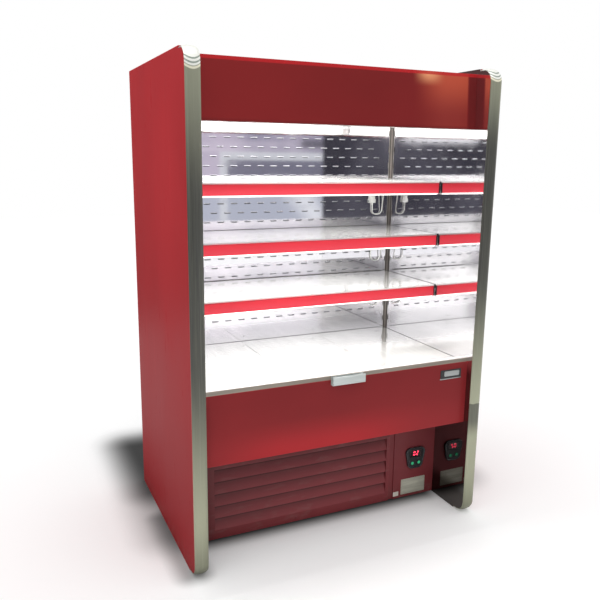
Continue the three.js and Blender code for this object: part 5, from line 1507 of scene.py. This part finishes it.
class FRIDGE_OT_controller(bpy.types.Operator):
    """Finishes the controller and adds its glossy face, its lit digits and the marks on its keys"""

    bl_idname = "fridge.controller"
    bl_label = "Controller"

    foot_share = 0.78
    segments = {
        "0": "abcdef", "1": "bc", "2": "abged", "3": "abgcd", "4": "fgbc",
        "5": "afgcd", "6": "afgedc", "7": "abc", "8": "abcdefg", "9": "abcdfg",
    }
    shown = "02"

    def execute(self, context):
        tones = colours()
        wear("controller_body", moulded("controller_black", linear("1A1D20"), 0.38, coat=0.3))
        wear("controller_display", moulded("display_glass", linear("26080C"), 0.12, coat=0.8))
        self.add_face()
        self.add_digits(tones)
        for side in SIDES:
            node = f"controller_key_{side}"
            wear(node, moulded(f"key_rubber_{side}", linear("173F2E"), 0.45))
            smooth_part(node)
            self.add_key_mark(side, node, tones)
        return {"FINISHED"}

    def add_face(self):
        """Glossy raised frame, narrower at its foot, with a rounded rim."""
        low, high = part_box("controller_body")
        display_low, display_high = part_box("controller_display")
        centre = ((low.x + high.x) / 2, (low.z + high.z) / 2)
        width, height = high.x - low.x, high.z - low.z
        face = Shape()
        levels = [(0.0, 0.05), (0.3, 0.6), (1.4, 0.9), (3.6, 0.7), (5.0, 0.35)]
        rings = []
        for inset, rise in levels:
            outline = rounded_outline(
                centre, width - 2 * inset * MM, height - 2 * inset * MM, (22 - inset) * MM, 8, self.foot_share
            )
            rings.append([face.mesh.verts.new((u, low.y - rise * MM, v)) for u, v in outline])
        face.bridge(rings)
        face.piece("controller_rim", "cabinet", moulded("rim_black", linear("202428"), 0.22, coat=0.7))
        bezel = Shape()
        x0, x1, z0, z1 = display_low.x, display_high.x, display_low.z, display_high.z
        outer = rounded_outline(((x0 + x1) / 2, (z0 + z1) / 2), x1 - x0 + 7 * MM, z1 - z0 + 7 * MM, 5 * MM)
        inner = rounded_outline(((x0 + x1) / 2, (z0 + z1) / 2), x1 - x0 - 0.5 * MM, z1 - z0 - 0.5 * MM, 2 * MM)
        ys = (low.y - 0.05 * MM, min(display_low.y, low.y) - 0.9 * MM)
        bezel.bridge([
            [bezel.mesh.verts.new((u, y, v)) for u, v in outline]
            for outline, y in ((outer, ys[0]), (outer, ys[1]), (inner, ys[1]), (inner, ys[0]))
        ])
        bezel.piece("display_frame", "cabinet", moulded("frame_black", linear("101214"), 0.3))

    def segment_outlines(self, width, height, thick):
        """Corner points of the seven bars, from a corner at the lower left."""
        middle = height / 2
        flat = lambda z: [(thick * 0.6, z), (width - thick * 0.6, z), (width - thick * 1.1, z + thick), (thick * 1.1, z + thick)]
        side = lambda x, z0, z1: [(x, z0), (x + thick, z0 + thick * 0.4), (x + thick, z1 - thick * 0.4), (x, z1)]
        gap = thick * 0.35
        return {
            "a": flat(height - thick), "g": flat(middle - thick / 2), "d": flat(0.0),
            "f": side(0.0, middle + gap, height - gap), "b": side(width - thick, middle + gap, height - gap),
            "e": side(0.0, gap, middle - gap), "c": side(width - thick, gap, middle - gap),
        }

    def add_digits(self, tones):
        low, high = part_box("controller_display")
        height = sizes().digit_height
        width, thick, pitch = 0.56 * height, 0.20 * height, 0.78 * height
        left = (low.x + high.x) / 2 - (pitch + width) / 2
        bottom = (low.z + high.z) / 2 - height / 2
        outlines = self.segment_outlines(width, height, thick)
        digits = Shape()
        for place, digit in enumerate(self.shown):
            for name in self.segments[digit]:
                points = [(left + place * pitch + u + 0.08 * v, bottom + v) for u, v in outlines[name]]
                digits.prism(points, "y", low.y - 0.25 * MM, low.y - 0.05 * MM)
        digits.piece(
            "display_digits", "cabinet", glowing("digit_glow", tones.digits, 3.0, linear("6A0D18")),
            smooth=None,
        )

    def add_key_mark(self, side, node, tones):
        """A lit triangle on each key: up on one, down on the other."""
        low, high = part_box(node)
        x, z = (low.x + high.x) / 2, (low.z + high.z) / 2
        turn = 1 if side == "left" else -1
        size = 4.4 * MM
        outline = [(x - size, z - turn * 0.6 * size), (x + size, z - turn * 0.6 * size), (x, z + turn * 0.9 * size)]
        mark = Shape()
        mark.prism(outline, "y", low.y - 0.3 * MM, low.y - 0.02 * MM)
        ring = [(6.6 * MM, 0.0), (6.6 * MM, -0.35 * MM), (5.8 * MM, -0.35 * MM), (5.8 * MM, 0.0)]
        mark.turned(ring, (x, low.y - 0.02 * MM, z), "y", 28)
        mark.piece(
            f"key_mark_{side}", f"key_{side}", glowing(f"key_glow_{side}", tones.keys, 0.75, linear("0F3B28")),
            smooth=None,
        )


# ------------------------------------------------------------------ machine and back


class FRIDGE_OT_machine(bpy.types.Operator):
    """Finishes the chassis, the feet and the machine parts, and adds their small fittings"""

    bl_idname = "fridge.machine"
    bl_label = "Machine compartment"

    def execute(self, context):
        tones = colours()
        wear("chassis", galvanised("chassis_zinc", tones.zinc))
        wear("foot_frame", moulded("foot_black", linear("242527"), 0.55))
        wear("compressor", self.compressor_finish())
        smooth_part("compressor")
        wear("condenser_coil", finned("condenser_fins", linear("B9BCBE"), 2.4 * MM))
        wear("condenser_shroud", moulded("shroud_black", linear("2A2C2E"), 0.5))
        wear("condenser_fan_motor", moulded("motor_black", linear("2B2D30"), 0.45))
        wear("condenser_fan", brushed("fan_aluminium", linear("B5B8BA"), (1, 0.2, 1), 0.35))
        wear("condensate_tray", moulded("tray_black", linear("303235"), 0.5))
        wear("rear_grille", galvanised("grille_zinc", tones.zinc))
        wear("mains_gland", moulded("gland_black", linear("1C1D1F"), 0.42))
        for node in ("suction_line", "liquid_line"):
            wear(node, copper(f"copper_{node}"))
            smooth_part(node, 40)
        self.add_terminal_cover()
        self.add_grille_screws()
        return {"FINISHED"}

    def compressor_finish(self):
        """Black enamel with a weld seam round the middle."""
        finish = Finish("compressor_enamel")
        low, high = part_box("compressor")
        seam = abs(finish.axis("z") - (low.z + 0.62 * (high.z - low.z)))
        band = 1 - seam.rise(0.003, 0.008)
        dust = finish.noise(20, 5).rise(0.4, 0.8)
        tone = finish.mix(dust * 0.4, linear("191A1C"), linear("5A564F"))
        return finish.surface(
            base_color=tone, roughness=0.34 + dust * 0.3, coat_weight=0.2, coat_roughness=0.2,
            normal=finish.bump(band, 0.002, 0.7, finish.bump(finish.noise(180, 3), 0.0001, 0.5)),
        )

    def add_terminal_cover(self):
        """Cover over the compressor's electrical terminals."""
        low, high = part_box("compressor")
        x, y = (low.x + high.x) / 2, low.y
        cover = Shape()
        z0, z1 = low.z + 90 * MM, low.z + 140 * MM
        cover.block((x - 30 * MM, y - 14 * MM, z0), (x + 30 * MM, y + 8 * MM, z1), 4 * MM, 3)
        cover.block((x - 22 * MM, y - 17 * MM, z0 + 8 * MM), (x + 22 * MM, y - 12 * MM, z1 - 8 * MM), 2 * MM)
        cover.piece("terminal_cover", "cabinet", moulded("cover_black", linear("2A2B2D"), 0.5))

    def add_grille_screws(self):
        low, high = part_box("rear_grille")
        screws = Shape()
        for x in (low.x + 18 * MM, low.x / 2, 0.0, high.x / 2, high.x - 18 * MM):
            for z in (low.z + 14 * MM, high.z - 14 * MM):
                screws.screw((x, high.y, z), "y", sizes().screw_radius, outward=1)
        screws.piece(
            "rear_grille_screws", "cabinet", brushed("grille_screw_steel", linear("BFC2C3"), (1, 1, 1))
        )


class FRIDGE_OT_evaporator(bpy.types.Operator):
    """Finishes the evaporator, its fan plate, fans and motors"""

    bl_idname = "fridge.evaporator"
    bl_label = "Evaporator"

    def execute(self, context):
        wear("evaporator_coil", finned("evaporator_fins", linear("C3C6C8"), 3.0 * MM))
        wear("evaporator_fan_plate", galvanised("fan_plate_zinc", colours().zinc))
        wear("evaporator_fan_motors", moulded("fan_motor_black", linear("27292B"), 0.45))
        for side in SIDES:
            wear(f"evaporator_fan_{side}", moulded(f"fan_black_{side}", linear("1D1F21"), 0.4))
        return {"FINISHED"}


class FRIDGE_OT_back(bpy.types.Operator):
    """Finishes the rear panel and adds its screws"""

    bl_idname = "fridge.back"
    bl_label = "Back"

    def execute(self, context):
        zinc = colours().zinc
        wear("rear_panel", galvanised("rear_zinc", zinc))
        low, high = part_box("rear_panel")
        trim = Shape()
        for x in (low.x + 15 * MM, low.x / 3, high.x / 3, high.x - 15 * MM):
            for z in (low.z + 30 * MM, (low.z + high.z) / 2, high.z - 30 * MM):
                trim.screw((x, high.y, z), "y", 0.7 * sizes().screw_radius, outward=0.9)
        trim.piece("rear_panel_screws", "cabinet", brushed("rear_screw_steel", linear("B8BBBC"), (1, 1, 1)))
        return {"FINISHED"}


STEPS = (
    FRIDGE_OT_stage,
    FRIDGE_OT_ends,
    FRIDGE_OT_walls,
    FRIDGE_OT_canopy,
    FRIDGE_OT_base,
    FRIDGE_OT_shelves,
    FRIDGE_OT_blind,
    FRIDGE_OT_lower_front,
    FRIDGE_OT_controller,
    FRIDGE_OT_machine,
    FRIDGE_OT_evaporator,
    FRIDGE_OT_back,
)


class FRIDGE_PT_panel(bpy.types.Panel):
    """Lists the fridge's steps in the sidebar"""

    bl_idname = "FRIDGE_PT_panel"
    bl_label = "Display fridge"
    bl_space_type = "VIEW_3D"
    bl_region_type = "UI"
    bl_category = "Fridge"

    def draw(self, context):
        for step in STEPS:
            self.layout.operator(step.bl_idname)
        for group in (context.scene.fridge_colours, context.scene.fridge_sizes, context.scene.fridge_light):
            box = self.layout.box()
            for name in group.__annotations__:
                box.prop(group, name)


CLASSES = (FridgeColours, FridgeSizes, FridgeLight, *STEPS, FRIDGE_PT_panel)


def register():
    for item in CLASSES:
        bpy.utils.register_class(item)
    bpy.types.Scene.fridge_colours = PointerProperty(type=FridgeColours)
    bpy.types.Scene.fridge_sizes = PointerProperty(type=FridgeSizes)
    bpy.types.Scene.fridge_light = PointerProperty(type=FridgeLight)


def unregister():
    del bpy.types.Scene.fridge_light
    del bpy.types.Scene.fridge_sizes
    del bpy.types.Scene.fridge_colours
    for item in reversed(CLASSES):
        bpy.utils.unregister_class(item)


def main():
    """Runs every step."""
    register()
    for step in STEPS:
        section, name = step.bl_idname.split(".")
        getattr(getattr(bpy.ops, section), name)()


if __name__ == "__main__":
    main()
